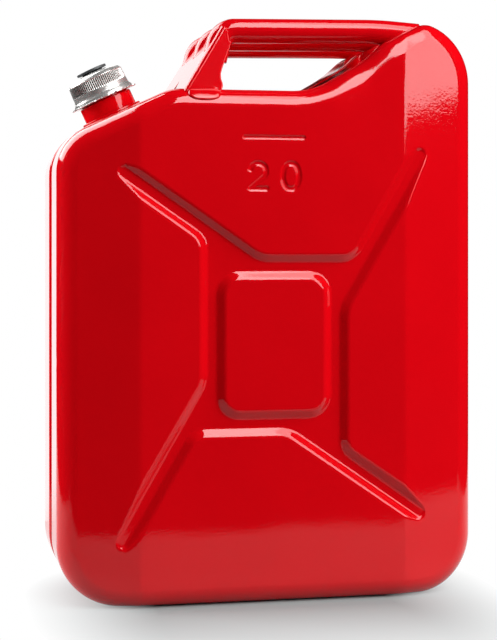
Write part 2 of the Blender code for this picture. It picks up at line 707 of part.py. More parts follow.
def make_bars(paint, envelope, bead_space):
    """Three hollow bars, cut to the hump at one end and to the sloped leg at the other."""
    path = bar_path()
    gap = SEAT_GAP
    low = leg_point(-12 * MM, gap)
    top = leg_point(leg_split(), gap)
    under = leg_point(leg_split() + 0.8 * BAR_R, -2 * BAR_R)
    deep = leg_point(-12 * MM, -45 * MM)
    for place, y in (("front", -BAR_PITCH), ("middle", 0.0), ("rear", BAR_PITCH)):
        name = "handle_bar_" + place
        bar = add_object(name, tube_mesh(name, path, BAR_R, y), paint)
        inner_path = [(path[0][0] - BAR_WALL, path[0][1])] + path[1:]
        bore = add_object(name + "_bore", tube_mesh(name + "_bore", inner_path, BAR_R - BAR_WALL, y), None)
        combine(bar, bore, "DIFFERENCE")
        leg_cut = prism(name + "_leg_cut", [low, deep, under, top], y - 2 * BAR_R, y + 2 * BAR_R)
        combine(bar, leg_cut, "DIFFERENCE")
        combine(bar, envelope, "DIFFERENCE")
        if y == 0:
            combine(bar, bead_space, "DIFFERENCE")


def leg_skin():
    """Sloped plate with its two folded cheeks as an open sheet, rows running up the leg."""
    below = CHEEK_FOOT + 0.56 * LEG_LENGTH / math.tan(LEG_ANGLE)
    narrowing = 0.35 * CHEEK_FOOT + 0.65 * CHEEK_WAIST
    rows = (
        (-0.26, -0.26, below), (0.30, 0.30, CHEEK_FOOT), (0.37, 0.37, narrowing),
        (0.48, 0.48, CHEEK_WAIST), (0.72, 0.70, 0.5 * (CHEEK_WAIST + CHEEK_TOP)), (1.0, 0.87, CHEEK_TOP),
    )
    verts, faces = [], []
    for share, edge_share, cheek in rows:
        half = (LEG_FOOT_WIDTH + (LEG_TOP_WIDTH - LEG_FOOT_WIDTH) * share) / 2
        section = [(-half, -cheek)]
        for k in range(4):
            turn = math.pi / 2 * k / 3
            section.append((-half + LEG_FOLD_R * (1 - math.cos(turn)), -LEG_FOLD_R * (1 - math.sin(turn))))
        section += [(-BAR_PITCH / 2, 0), (BAR_PITCH / 2, 0)]
        section += [(-y, lift) for y, lift in reversed(section[:5])]
        for y, lift in section:
            along = share if abs(lift) < LEG_FOLD_R else edge_share
            x, z = leg_point(along * LEG_LENGTH, lift)
            verts.append((x, y, z))
    size = len(section)
    for row in range(len(rows) - 1):
        for i in range(size - 1):
            here = row * size + i
            faces.append((here, here + 1, here + size + 1, here + size))
    return verts, faces


def top_edge_point(along, lift):
    """Point over the shell's top edge: along its rounded edge from the crown, and off it.

    A positive distance runs over the edge and down the face, a negative one back along the flat top.
    """
    centre_y, centre_z = HALF_D - EDGE_R, VALLEY_Z - EDGE_R
    radius = EDGE_R + lift
    turn = min(max(along / EDGE_R, 0.0), math.pi / 2)
    past = along - turn * EDGE_R
    y = centre_y + radius * math.sin(turn) + min(past, 0.0)
    z = centre_z + radius * math.cos(turn) - max(past, 0.0)
    return y, z


def foot_tab(name, front):
    """Curved tab under a cheek that lies on the shell's rounded top edge, centred on the cheek."""
    side = -1 if front else 1
    left = leg_point(0, 0)[0] + FOOT_SETBACK
    lean = (LEG_FOOT_WIDTH / 2 - HALF_D + EDGE_R) / (EDGE_R + SEAT_GAP)
    under_cheek = EDGE_R * math.asin(min(max(lean, -1.0), 1.0))
    stops = [under_cheek + FOOT_WIDTH * share for share in (-0.5, -0.17, 0.17, 0.5)]
    section = [top_edge_point(stop, SEAT_GAP) for stop in stops]
    section += [top_edge_point(stop, SEAT_GAP + FOOT_SHEET) for stop in reversed(stops)]
    section = [(side * y, z) for y, z in section]
    count = len(section)
    verts = [(x, y, z) for x in (left, left + FOOT_LENGTH) for y, z in section]
    faces = [tuple(range(count)), tuple(range(2 * count - 1, count - 1, -1))]
    faces += [(i, (i + 1) % count, count + (i + 1) % count, count + i) for i in range(count)]
    return add_object(name, mesh_from(verts, faces, name), None)


def make_leg(paint, envelope):
    """Leg of folded sheet: notched over the seam, scalloped round the bars, its feet on the shells."""
    verts, faces = leg_skin()
    mesh = mesh_from(verts, faces, "handle_leg", closed=False)
    leg = add_object("handle_leg", mesh, paint, smooth_angle=28)
    sheet = leg.modifiers.new("sheet", "SOLIDIFY")
    sheet.thickness = LEG_SHEET
    sheet.offset = 1
    sheet.use_even_offset = True
    for front in (True, False):
        combine(leg, foot_tab("foot_tab_front" if front else "foot_tab_rear", front), "UNION")
    x, z = leg_point(0, 0)
    notch = add_object("leg_notch", mesh_from(
        [(x + dx, side * LEG_NOTCH_W / 2, z - 12 * MM) for dx in (-12 * MM, 24 * MM) for side in (-1, 1)]
        + [(x + dx, 0, z + LEG_NOTCH_H) for dx in (-12 * MM, 24 * MM)],
        [(0, 1, 3, 2), (0, 2, 5, 4), (1, 4, 5, 3), (0, 4, 1), (2, 3, 5)], "leg_notch"), None)
    combine(leg, notch, "DIFFERENCE")
    path = bar_path()
    cut = leg_split() - SEAT_GAP
    end = cut + 1.5 * LEG_LENGTH
    low, top = leg_point(cut, -LEG_LENGTH), leg_point(cut, 3 * BAR_R)
    far, near = leg_point(end, 3 * BAR_R), leg_point(end, -LEG_LENGTH)
    for name, y in (("scallop_front", -BAR_PITCH), ("scallop_middle", 0.0), ("scallop_rear", BAR_PITCH)):
        scallop = add_object(name, tube_mesh(name, path, BAR_R + SEAT_GAP, y), None)
        upper = prism(name + "_upper", [low, near, far, top], y - 2 * BAR_R, y + 2 * BAR_R)
        combine(scallop, upper, "INTERSECT")
        combine(leg, scallop, "DIFFERENCE")
    combine(leg, envelope, "DIFFERENCE")
    return leg


def make_bead(name, outline, normals, material, grow=0.0):
    """Bead in the seam groove: a low ridge along its floor, from one side of the neck to the other."""
    half, height = BEAD_WIDTH / 2 + grow, BEAD_HEIGHT + grow
    share = groove_share(outline)
    floor = share * GROOVE_DEPTH - SEAT_GAP + grow
    deepest = np.hypot(outline[:, 0] - NECK_X, outline[:, 1] - NECK_Z)
    keep = deepest > COLLAR_R + FLAT_MARGIN + 0.7 * FLAT_RAMP
    first = int(np.argmax(keep & ~np.roll(keep, 1)))
    order = [(first + i) % len(outline) for i in range(int(keep.sum()))]
    verts, faces = [], []
    for i in order:
        for y, up in ((-half, 0), (-0.5 * half, height), (0.5 * half, height), (half, 0)):
            x, z = outline[i] - normals[i] * (floor[i] - up)
            verts.append((x, y, z))
    for i in range(len(order) - 1):
        for k in range(4):
            m = (k + 1) % 4
            faces.append((4 * i + k, 4 * i + m, 4 * i + 4 + m, 4 * i + 4 + k))
    last = 4 * (len(order) - 1)
    faces += [(0, 1, 2, 3), (last, last + 1, last + 2, last + 3)]
    return add_object(name, mesh_from(verts, faces, name), material)


def make_vent(steel):
    """Vent tube from the neck to the air space in the hump, and the clip that holds it."""
    tilt_way = Vector((-math.sin(NECK_TILT), math.cos(NECK_TILT)))
    across = Vector((math.cos(NECK_TILT), math.sin(NECK_TILT)))
    base = Vector((NECK_X, NECK_Z)) + across * (NECK_R - NECK_WALL - VENT_R - SEAT_GAP)
    level = VALLEY_Z - VENT_BELOW_TOP
    start = base + tilt_way * VENT_IN_NECK
    turn_down = base - tilt_way * VENT_DROP
    rise_x = KNEE_X - VENT_RISE_BACK
    end = (CREST_X - VENT_END_BACK, HUMP_Z - VENT_END_DROP)
    level_x = SHOULDER_BREAK_X + VENT_LEVEL_START
    path = bent_path([
        (*start, 0), (*turn_down, VENT_NECK_BEND_R), (level_x, level, VENT_BEND_R),
        (rise_x, level, VENT_BEND_R), (*end, 0),
    ], steps=3)
    tube = add_object("vent_tube", tube_mesh("vent_tube", path, VENT_R, sides=12), steel)
    ends = [tuple(Vector(path[0]) + tilt_way * MM)] + path[1:-1]
    ends.append(tuple(Vector(path[-1]) + (Vector(path[-1]) - Vector(path[-2])).normalized() * MM))
    bore = add_object("vent_bore", tube_mesh("vent_bore", ends, VENT_R - VENT_WALL, sides=12), None)
    combine(tube, bore, "DIFFERENCE")
    inner, outer = VENT_R + SEAT_GAP, VENT_R + SEAT_GAP + CLIP_SHEET
    top = VALLEY_Z - GROOVE_DEPTH - SHEET - SEAT_GAP
    clip_x = 0.5 * (SHOULDER_BREAK_X + rise_x)
    span = [(clip_x - CLIP_WIDTH / 2, level), (clip_x + CLIP_WIDTH / 2, level)]
    clip = add_object("vent_clip", tube_mesh("vent_clip", span, outer, sides=12), steel)
    corners = [span[0], span[1], (span[1][0], top), (span[0][0], top)]
    stem = prism("clip_stem", corners, -CLIP_SHEET, CLIP_SHEET)
    combine(clip, stem, "UNION")
    longer = [(span[0][0] - MM, level), (span[1][0] + MM, level)]
    hole = add_object("clip_hole", tube_mesh("clip_hole", longer, inner, sides=12), None)
    combine(clip, hole, "DIFFERENCE")


def main():
    clear_scene()
    paint = make_material("red_paint", (0.56, 0.0, 0.002), 0.2, 0.0)
    plated = make_material("plated_steel", (0.62, 0.61, 0.58), 0.32, 1.0)
    dark = make_material("dark_disc", (0.05, 0.055, 0.055), 0.4, 0.2)
    rubber = make_material("black_rubber", (0.02, 0.02, 0.02), 0.75, 0.0)
    steel = make_material("bare_steel", (0.45, 0.44, 0.42), 0.45, 1.0)
    outline, normals = body_outline()
    pressing = Pressing()
    frame = neck_frame()
    deep = 12 * MM
    hole_r = NECK_R + SEAT_GAP
    hole = turned("neck_hole", [(0, -deep), (hole_r, -deep), (hole_r, deep), (0, deep)], None, frame)
    envelope = make_envelope("can_envelope", outline, normals, SEAT_GAP)
    make_shell("front_shell", outline, normals, pressing, True, paint, hole)
    make_shell("rear_shell", outline, normals, pressing, False, paint, hole)
    make_bead("seam_weld", outline, normals, paint)
    bead_space = make_bead("bead_space", outline, normals, None, SEAT_GAP)
    make_neck(frame, paint, envelope)
    make_cap(frame, plated, dark, rubber)
    make_bars(paint, envelope, bead_space)
    make_leg(paint, envelope)
    make_vent(steel)


main()
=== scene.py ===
"""Looks of the steel fuel can: pressed skins, seam, neck, handle, cap, enamel, plating and studio.

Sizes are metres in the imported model's frame: X to the right, Y to the back, Z up. The neck and the
cap are worked out upright about the neck's own axis and then leant over with it.
"""

import math

import bmesh
import bpy
import numpy as np
from bpy.props import FloatProperty, FloatVectorProperty, IntProperty, PointerProperty
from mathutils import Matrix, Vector
from mathutils.geometry import delaunay_2d_cdt


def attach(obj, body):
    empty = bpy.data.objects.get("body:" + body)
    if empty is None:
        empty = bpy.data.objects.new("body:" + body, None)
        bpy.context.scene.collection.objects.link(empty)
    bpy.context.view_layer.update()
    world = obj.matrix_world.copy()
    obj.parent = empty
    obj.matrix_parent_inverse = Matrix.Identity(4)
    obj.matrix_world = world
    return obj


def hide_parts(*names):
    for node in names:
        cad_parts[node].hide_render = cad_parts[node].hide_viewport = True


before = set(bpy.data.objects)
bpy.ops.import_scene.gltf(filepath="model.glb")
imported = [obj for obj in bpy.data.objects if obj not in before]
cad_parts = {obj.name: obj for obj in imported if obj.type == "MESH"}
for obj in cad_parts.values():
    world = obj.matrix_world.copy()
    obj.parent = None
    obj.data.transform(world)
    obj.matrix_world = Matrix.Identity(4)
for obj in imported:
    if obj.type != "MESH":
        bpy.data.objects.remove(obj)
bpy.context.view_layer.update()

bl_info = {
    "name": "Fuel can dressing",
    "version": (1, 0, 0),
    "blender": (4, 5, 0),
    "location": "3D View > Sidebar > Fuel can",
    "description": "Builds the painted skins, handle, neck, cap and studio of a 20 litre fuel can",
    "category": "Object",
}

MM = 0.001

# The can's own sizes, as the solids have them
HALF_W = 172.5 * MM
HALF_D = 82.5 * MM
HUMP_Z = 472 * MM
VALLEY_Z = 413 * MM
SHOULDER_RUN = 90 * MM
SHOULDER_ANGLE = math.radians(25)
CREST_IN = 41 * MM
CREST_X = HALF_W - CREST_IN
HUMP_FALL = 2 * math.atan(9 / 50)
BROW_X = CREST_X - 39.3 * MM
BROW_DROP = 19.3 * MM
KNEE_X = BROW_X - 13.7 * MM
KNEE_RISE = 26 * MM
FLANK_FOOT_X = KNEE_X - 45 * MM
SHOULDER_BREAK_X = -HALF_W + SHOULDER_RUN
SHOULDER_FOOT_Z = VALLEY_Z - SHOULDER_RUN * math.tan(SHOULDER_ANGLE)
CREASE_X = HALF_W - 63.5 * MM
BAND_SLOPE = math.tan(math.radians(12.5))
EDGE_R = 16 * MM
GROOVE_DEPTH = 6 * MM
GROOVE_FLOOR = 10 * MM
GROOVE_WALL = 8 * MM
RIM_GAP = 0.3 * MM
SHEET = 1 * MM
OUTLINE = (
    (-HALF_W, 0.0, 48 * MM),
    (HALF_W, 0.0, 48 * MM),
    (HALF_W, HUMP_Z - CREST_IN * math.tan(HUMP_FALL), 50 * MM),
    (CREST_X, HUMP_Z, 18 * MM),
    (BROW_X, HUMP_Z - BROW_DROP, 40 * MM),
    (KNEE_X, VALLEY_Z + KNEE_RISE, 95 * MM),
    (FLANK_FOOT_X, VALLEY_Z, 65 * MM),
    (SHOULDER_BREAK_X, VALLEY_Z, 40 * MM),
    (-HALF_W, SHOULDER_FOOT_Z, 40 * MM),
)

# Softer drawing of the sheet round the hump's crest and on its flank
CREST_DROP = 30 * MM
CREST_NEAR = 42 * MM
CREST_FADE = 34 * MM
CREST_EASE = 8
SWELL_DROP = 34 * MM
SWELL_NEAR = 16 * MM
SWELL_FADE = 44 * MM
SWELL_REACH = 36 * MM
SWELL_R = 110 * MM

# Pressed X and raised square
PRESS_Z = 207.2 * MM
PRESS_DEPTH = 4.6 * MM
PRESS_WALL = 6.4 * MM
FLOOR_WIDTH = 7.2 * MM
SQUARE_W = 94.4 * MM
SQUARE_H = 118.4 * MM
SQUARE_R = 19 * MM
SHALLOW_ARM_ANGLE = math.radians(34.7)
STEEP_ARM_ANGLE = math.radians(59.6)
SHALLOW_ARM_START = 13.5 * MM
STEEP_ARM_START = 31 * MM
ARM_END_X = CREASE_X + 16 * MM
PANEL_FLAT_R = 30 * MM
PANEL_CORNER_R = 21 * MM

# Field that holds the pressed-in marks: the height of its middle and its half sizes
MARK_Z = 355 * MM
MARK_HALF_W = 35 * MM
MARK_HALF_H = 30 * MM

# Neck and cap, along the neck's axis from the shoulder
NECK_IN = 51.7 * MM
NECK_X = -HALF_W + NECK_IN
NECK_Z = SHOULDER_FOOT_Z + NECK_IN * math.tan(SHOULDER_ANGLE)
NECK_HOLE_R = 22.9 * MM
NECK_R = 22.6 * MM
NECK_WALL = 1.5 * MM
NECK_STEP_H = 15.6 * MM
NECK_TOP_H = 31.7 * MM
THREAD_R = 21.3 * MM
THREAD_PITCH = 6 * MM
THREAD_CREST = 1.0 * MM
COLLAR_R = 25.9 * MM
COLLAR_H = 3.0 * MM
SEAM_GAP = 2.6 * MM
FLAT_MARGIN = 6 * MM
FLAT_RAMP = 10 * MM
CAP_FOOT_H = 16.3 * MM
CAP_R = 24.3 * MM
CAP_H = 23.3 * MM
CAP_SHOULDER = 5.3 * MM
BRIM_R = 28.8 * MM
BRIM_SHEET = 1.2 * MM
TOP_DISC_R = 12.9 * MM
TOP_DISC_T = 2.0 * MM
RIVET_R = 3.5 * MM
BORE_CLEARANCE = 0.4 * MM

# Handle
BAR_R = 10 * MM
BAR_PITCH = 53 * MM
BAR_BEND_R = 14 * MM
BAR_SINK_ANGLE = math.radians(18)
BAR_PROUD = 3 * MM
BAR_SHORT_OF_CREST = 3.5 * MM
BAR_RISE = math.radians(1.2)
BAR_DROOP = 2.2 * MM
LEG_ANGLE = math.radians(58.5)
LEG_X = SHOULDER_BREAK_X + 10.5 * MM
LEG_SHEET = 1.6 * MM
LEG_FOOT_WIDTH = 152 * MM
LEG_TOP_WIDTH = 132 * MM
LEG_LENGTH = 61 * MM
LEG_FOLD_R = 3.5 * MM
LEG_SPLIT = 0.6 * LEG_LENGTH
LEG_NOTCH_W = 22 * MM
LEG_NOTCH_H = 13 * MM
FOOT_LENGTH = 26 * MM
FOOT_WIDTH = 13.8 * MM
FOOT_SHEET = 1.5 * MM
FOOT_OVER = 2.1 * MM

# Camera, as the photograph was taken
CAMERA_PLACE = (-0.2893, -1.3398, 0.286)
CAMERA_WAY = (0.2079, 0.9781, 0.0)
CAMERA_LENS = 1609 / 640 * 36
CAMERA_SHIFT = -73 / 640

# Painted shadow: the patch of floor left grey round the can, where the white does not fade in: half its
# width, its front and rear edges, and how far it takes to fade out beside, ahead of and behind it
SHADE_HALF = 95 * MM
SHADE_FRONT = HALF_D + 14 * MM
SHADE_REAR = -20 * MM
SHADE_SIDE = 100 * MM
SHADE_AHEAD = 225 * MM
SHADE_BEHIND = 130 * MM

# Where the floor's mirror image in the paint begins to turn white, towards the back, and is all white
WHITE_FROM = -220 * MM
WHITE_FULL = -20 * MM

# Lamps: name, place, aim, width, height, and the setting of the power
LAMPS = (
    ("key_lamp", (1.12, -1.09, 1.47), (0, 0, 0.3), 1.98, 1.98, "key_power"),
    ("left_lamp", (-1.9, 0.5, 0.55), (0, 0, 0.25), 0.9, 1.3, "left_power"),
    ("back_lamp", (0.15, 1.7, 1.7), (0, 0, 0.1), 2.4, 1.4, "back_power"),
)
SCREEN_REACH = 2.9

# Lit cloths that the paint reflects: name, distance, corners as degrees of turn and of rise, strength
SOFTBOX_CENTRE = (0.0, 0.0, 0.3)
SOFTBOXES = (
    ("key_softbox", 1.9, ((27, 6.0), (56, 8.7), (60, 76), (27, 76)), 5.2),
    ("top_softbox", 1.9, ((-2, 34), (30, 29), (30, 72), (-2, 62)), 8.5),
    ("left_softbox", 1.9, ((-148, 14), (-106, 16), (-90, 62), (-158, 62)), 7.5),
    ("left_backdrop", 0.5, ((-176, -50), (-150, -50), (-150, 60), (-176, 60)), 1.4),
)


def length_setting(name, text, size):
    """Setting of a length in metres."""
    return FloatProperty(name=name, description=text, default=size, unit="LENGTH")


def power_setting(name, text, watts):
    """Setting of a lamp's power."""
    return FloatProperty(name=name, description=text, default=watts, min=0.0, unit="POWER")


def colour_setting(name, text, colour):
    """Setting of a colour."""
    return FloatVectorProperty(name=name, description=text, subtype="COLOR", size=3, default=colour,
                               min=0.0, max=1.0)


class FuelCanSkin(bpy.types.PropertyGroup):
    """Sizes of the pressed skins' finer forms."""

    foot_soft: length_setting("Channel foot softness", "Reach of the fillet at the channel floor", 1.2 * MM)
    top_soft: length_setting("Channel edge softness", "Reach of the round edge of the panels", 1.8 * MM)
    crease_soft: length_setting("Crease softness", "Reach of the bend where a side band falls back", 2.4 * MM)
    ridge_soft: length_setting("Band edge softness", "Rounding where a channel leaves a side band", 0.9 * MM)
    mark_depth: length_setting("Mark depth", "Depth of the pressed-in marks", 0.9 * MM)
    wave_height: length_setting("Sheet wave", "Height of the slow waves left by pressing", 0.10 * MM)
    bead_wobble: length_setting("Seam wobble", "How far the seam bead wanders", 0.35 * MM)


class FuelCanCap(bpy.types.PropertyGroup):
    """Sizes of the cap's finer forms."""

    knurl_count: IntProperty(name="Knurls", description="Ridges round the cap", default=86, min=12, max=160)
    knurl_depth: length_setting("Knurl depth", "Depth of the grooves between the ridges", 0.75 * MM)
    knurl_low: length_setting("Knurl foot", "Height of the knurled band's lower end", 8.6 * MM)
    lug_count: IntProperty(name="Lugs", description="Lugs round the brim", default=14, min=3, max=40)
    lug_depth: length_setting("Lug depth", "Depth of the notches between the lugs", 1.9 * MM)


class FuelCanFinish(bpy.types.PropertyGroup):
    """Colours of the finishes."""

    paint: colour_setting("Enamel", "Colour of the enamel", (0.60, 0.0012, 0.0045))
    plating: colour_setting("Plating", "Colour of the zinc plating", (0.70, 0.69, 0.67))
    disc: colour_setting("Disc", "Colour of the cap's top disc", (0.045, 0.048, 0.05))
    rubber: colour_setting("Rubber", "Colour of the gasket", (0.02, 0.02, 0.021))
    steel: colour_setting("Bare steel", "Colour of the steel inside", (0.42, 0.41, 0.39))


class FuelCanStudio(bpy.types.PropertyGroup):
    """Lamps and floor."""

    key_power: power_setting("Key lamp", "Power of the large soft lamp on the right", 78.0)
    left_power: power_setting("Left lamp", "Power of the soft lamp on the left", 55.0)
    back_power: power_setting("Back lamp", "Power of the soft lamp behind the can", 26.0)
    fill: FloatProperty(name="Room light", description="Strength of the light from all round",
                        default=0.10, min=0.0)
    # Dark, and short of red: painted shadow round the can, and a tint cancelling the red light the can throws
    floor: colour_setting("Floor", "Colour of the floor", (0.285, 0.325, 0.325))


# Mesh making

def smooth_step(value):
    """0 below 0 and 1 above 1, with level ends: three times the square less twice the cube."""
    value = np.clip(value, 0, 1)
    return value * value * (3 - 2 * value)


def ramp(value, soft):
    """0 below zero and the value itself above, joined by a parabola over plus and minus soft."""
    share = np.clip((value + soft) / (2 * soft), 0, 1)
    return np.where(value > soft, value, soft * share * share)


def larger(a, b, soft):
    """The larger of two depths, rounded over soft where they cross at a depth above zero."""
    reach = np.minimum(soft, 2 * np.maximum(np.minimum(a, b), 0)) + 1e-9
    share = np.clip(1 - np.abs(a - b) / reach, 0, 1)
    return np.maximum(a, b) + share * share * reach / 4


def wander(along, waves):
    """Slow irregular line: a sum of sines, each with its length, height and phase."""
    total = np.zeros_like(along)
    for length, height, phase in waves:
        total += height * np.sin(2 * math.pi * along / length + phase)
    return total


def xyz(x, y, z):
    """Points from their three coordinates, stretched to one shape."""
    return np.stack(np.broadcast_arrays(x, y, z), axis=-1)


def turned(x, z, angle):
    """A place in the upright plane turned by an angle from X towards Z."""
    c, s = math.cos(angle), math.sin(angle)
    return x * c - z * s, x * s + z * c


def lean(points):
    """Points worked out about an upright axis, turned over with the neck and set on the shoulder."""
    x, z = turned(points[..., 0], points[..., 2], SHOULDER_ANGLE)
    return xyz(NECK_X + x, points[..., 1], NECK_Z + z)


def full_turn(count):
    """Angles evenly round a circle."""
    return 2 * math.pi * np.arange(count) / count


def quads_of(index):
    """Quads between the neighbours of a rows by columns grid of point numbers."""
    quads = np.stack([index[:-1, :-1], index[:-1, 1:], index[1:, 1:], index[1:, :-1]], axis=-1)
    return quads.reshape(-1, 4)


class Form:
    """Grids of points and fans, gathered into one mesh."""

    def __init__(self):
        self.points = []
        self.faces = []
        self.values = []
        self.count = 0

    def add_points(self, points, value=0.0):
        """Add points with their share of groove darkening; returns the first one's number."""
        flat = np.asarray(points, dtype=float).reshape(-1, 3)
        first = self.count
        self.points.append(flat)
        self.values.append(np.broadcast_to(np.ravel(value), len(flat)))
        self.count += len(flat)
        return first

    def grid(self, points, around=False, over=False, value=0.0):
        """Quads between neighbours of a grid; around closes its columns, over closes its rows."""
        rows, cols = points.shape[:2]
        index = self.add_points(points, value) + np.arange(rows * cols).reshape(rows, cols)
        if around:
            index = np.concatenate([index, index[:, :1]], axis=1)
        if over:
            index = np.concatenate([index, index[:1]], axis=0)
        self.faces += quads_of(index).tolist()
        return index

    def fan(self, ring, centre):
        """Triangles from a closed ring of point numbers to one middle point."""
        middle = self.add_points(centre)
        tri = np.stack([ring, np.roll(ring, -1), np.full(len(ring), middle)], axis=-1)
        self.faces += tri.tolist()

    def mesh(self, name, merge=1e-6, turn_out=True):
        """The mesh, its doubles merged and its faces turned outwards."""
        made = bpy.data.meshes.new(name)
        made.from_pydata(np.concatenate(self.points).tolist(), [], self.faces)
        wear = made.attributes.new("wear", "FLOAT", "POINT")
        wear.data.foreach_set("value", np.concatenate(self.values).astype(np.float32))
        shape = bmesh.new()
        shape.from_mesh(made)
        bmesh.ops.remove_doubles(shape, verts=shape.verts, dist=merge)
        if turn_out:
            bmesh.ops.recalc_face_normals(shape, faces=shape.faces)
        shape.to_mesh(made)
        shape.free()
        return made


def ring_mesh(name, points, value=0.0, merge=1e-6):
    """Ring about the neck's axis: a closed profile along the rows, the turn along the columns."""
    form = Form()
    form.grid(lean(points), around=True, over=True, value=value)
    return form.mesh(name, merge)


def tube_mesh(name, points):
    """Tube of closed rings along the rows, with a fan over each end."""
    form = Form()
    index = form.grid(points, around=True)
    for end in (0, -1):
        form.fan(index[end, :-1], points[end].mean(axis=0))
    return form.mesh(name)


def place(name, mesh, material, body, slot, replaced=(), sharp=None):
    """Object of a finished piece: its finish, the body it rides on and the nodes it stands for."""
    piece = bpy.data.objects.new(name, mesh)
    bpy.context.collection.objects.link(piece)
    mesh.materials.append(material)
    mesh.shade_smooth()
    if sharp is not None:
        mesh.set_sharp_from_angle(angle=math.radians(sharp))
    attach(piece, body)
    if replaced:
        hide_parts(*replaced)
    return piece


def corner_turns(spots):
    """At each corner of a closed line: the ways in and out, the shorter run beside it and the turn."""
    into = spots - np.roll(spots, 1, axis=0)
    length = np.linalg.norm(into, axis=1)
    arrive = into / length[:, None]
    leave = np.roll(arrive, -1, axis=0)
    cross = arrive[:, 0] * leave[:, 1] - arrive[:, 1] * leave[:, 0]
    turn = np.arctan2(cross, np.sum(arrive * leave, axis=1))
    return arrive, leave, np.minimum(length, np.roll(length, -1)), turn


def rounded_line(corners, spacing, turn_step=math.radians(4)):
    """Closed line of straight runs, with an arc tangent to both runs at each (x, z, radius) corner.

    Returns the points and the outward normals, counter-clockwise seen from the front.
    """
    corners = np.asarray(corners, dtype=float)
    spots = corners[:, :2]
    arrive, _, shorter, turn = corner_turns(spots)
    half_tan = np.tan(np.abs(turn) / 2)
    reach = corners[:, 2] * half_tan
    reach = np.where(reach > shorter, 0.49 * shorter, reach)
    bend = np.sign(turn) * reach / half_tan
    outward = np.stack([arrive[:, 1], -arrive[:, 0]], axis=1)
    start = spots - arrive * reach[:, None]
    centre = start - outward * bend[:, None]
    points, normals = [], []
    for i in range(len(corners)):
        steps = max(2, math.ceil(abs(turn[i]) / turn_step))
        angle = turn[i] * np.linspace(0, 1, steps + 1)[:, None]
        side = np.array([-outward[i, 1], outward[i, 0]])
        normal = np.cos(angle) * outward[i] + np.sin(angle) * side
        arc = centre[i] + normal * bend[i]
        run = start[(i + 1) % len(corners)] - arc[-1]
        pieces = max(1, math.ceil(np.linalg.norm(run) / spacing))
        share = (np.arange(1, pieces) / pieces)[:, None]
        points += [arc, arc[-1] + run * share]
        normals += [normal, np.repeat(normal[-1:], pieces - 1, axis=0)]
    return np.concatenate(points), np.concatenate(normals)


def can_outline(spacing=2.6 * MM, turn_step=math.radians(3)):
    """The can's outline seen from the front, with its normals."""
    return rounded_line(OUTLINE, spacing, turn_step)


def edge_distance(points, start, edge):
    """Distance of each point to the nearest of some straight edges."""
    to_point = points[:, None, :] - start[None, :, :]
    along = np.clip(np.sum(to_point * edge, axis=2) / np.sum(edge * edge, axis=1), 0, 1)
    away = to_point - along[..., None] * edge
    return np.sqrt(np.min(np.sum(away * away, axis=2), axis=1))


def signed_distance(points, loop):
    """Distance of each point to a closed line, negative inside it."""
    edge = np.roll(loop, -1, axis=0) - loop
    rise = np.where(edge[:, 1] == 0, 1.0, edge[:, 1])
    z_next = loop[:, 1] + edge[:, 1]
    result = []
    for part in np.array_split(points, max(1, len(points) // 3000)):
        px, pz = part[:, :1], part[:, 1:]
        spans = (loop[:, 1] > pz) != (z_next > pz)
        hits = spans & (px < edge[:, 0] * (pz - loop[:, 1]) / rise + loop[:, 0])
        distance = edge_distance(part, loop, edge)
        result.append(np.where(np.sum(hits, axis=1) % 2 == 1, -distance, distance))
    return np.concatenate(result)


def line_distance(points, path):
    """Distance of each point to an open line of points."""
    return edge_distance(points, path[:-1], np.diff(path, axis=0))


# Pressed skins

def arm_lines(start, angle, length):
    """An arm of the X: its far end, its heading, and half its floor's width across it."""
    heading = np.array([math.cos(angle), math.sin(angle)])
    across = np.array([-heading[1], heading[0]]) * FLOOR_WIDTH / 2
    return start + heading * length, heading, across


def meet(point_a, way_a, point_b, way_b):
    """Where two lines in the face plane cross."""
    det = way_a[0] * way_b[1] - way_a[1] * way_b[0]
    gap = point_b - point_a
    return point_a + way_a * (gap[0] * way_b[1] - gap[1] * way_b[0]) / det


def channel_corners():
    """Corners of the sunk X's floor: one half, then the same half turned by 180 degrees."""
    half_floor = FLOOR_WIDTH / 2
    ring_x, ring_z = SQUARE_W / 2 + half_floor, SQUARE_H / 2 + half_floor
    shallow_length = (ARM_END_X - SHALLOW_ARM_START) / math.cos(SHALLOW_ARM_ANGLE)
    steep_length = (ARM_END_X - ring_x) / math.cos(STEEP_ARM_ANGLE)
    start, start_s = np.array([-SHALLOW_ARM_START, ring_z]), np.array([ring_x, STEEP_ARM_START])
    tip, way, across = arm_lines(start, math.pi - SHALLOW_ARM_ANGLE, shallow_length)
    tip_s, way_s, across_s = arm_lines(start_s, STEEP_ARM_ANGLE, steep_length)
    level, upright = np.array([1.0, 0.0]), np.array([0.0, 1.0])
    top = np.array([0.0, ring_z + half_floor])
    left = np.array([-ring_x - half_floor, 0.0])
    tip_r = half_floor * 0.98
    half = [
        (*meet(start_s - across_s, way_s, -left, upright), PANEL_FLAT_R),
        (*(tip_s - across_s), tip_r),
        (*(tip_s + across_s), tip_r),
        (*meet(start_s + across_s, way_s, top, level), PANEL_CORNER_R),
        (*meet(start - across, way, top, level), PANEL_FLAT_R),
        (*(tip - across), tip_r),
        (*(tip + across), tip_r),
        (*meet(start + across, way, left, upright), PANEL_CORNER_R),
    ]
    return [(x, z + PRESS_Z, r) for x, z, r in half + [(-x, -z, r) for x, z, r in half]]


def square_corners():
    """Corners of the raised square."""
    x, z = SQUARE_W / 2, SQUARE_H / 2
    return [(a * x, PRESS_Z + b * z, SQUARE_R) for a, b in ((-1, -1), (1, -1), (1, 1), (-1, 1))]


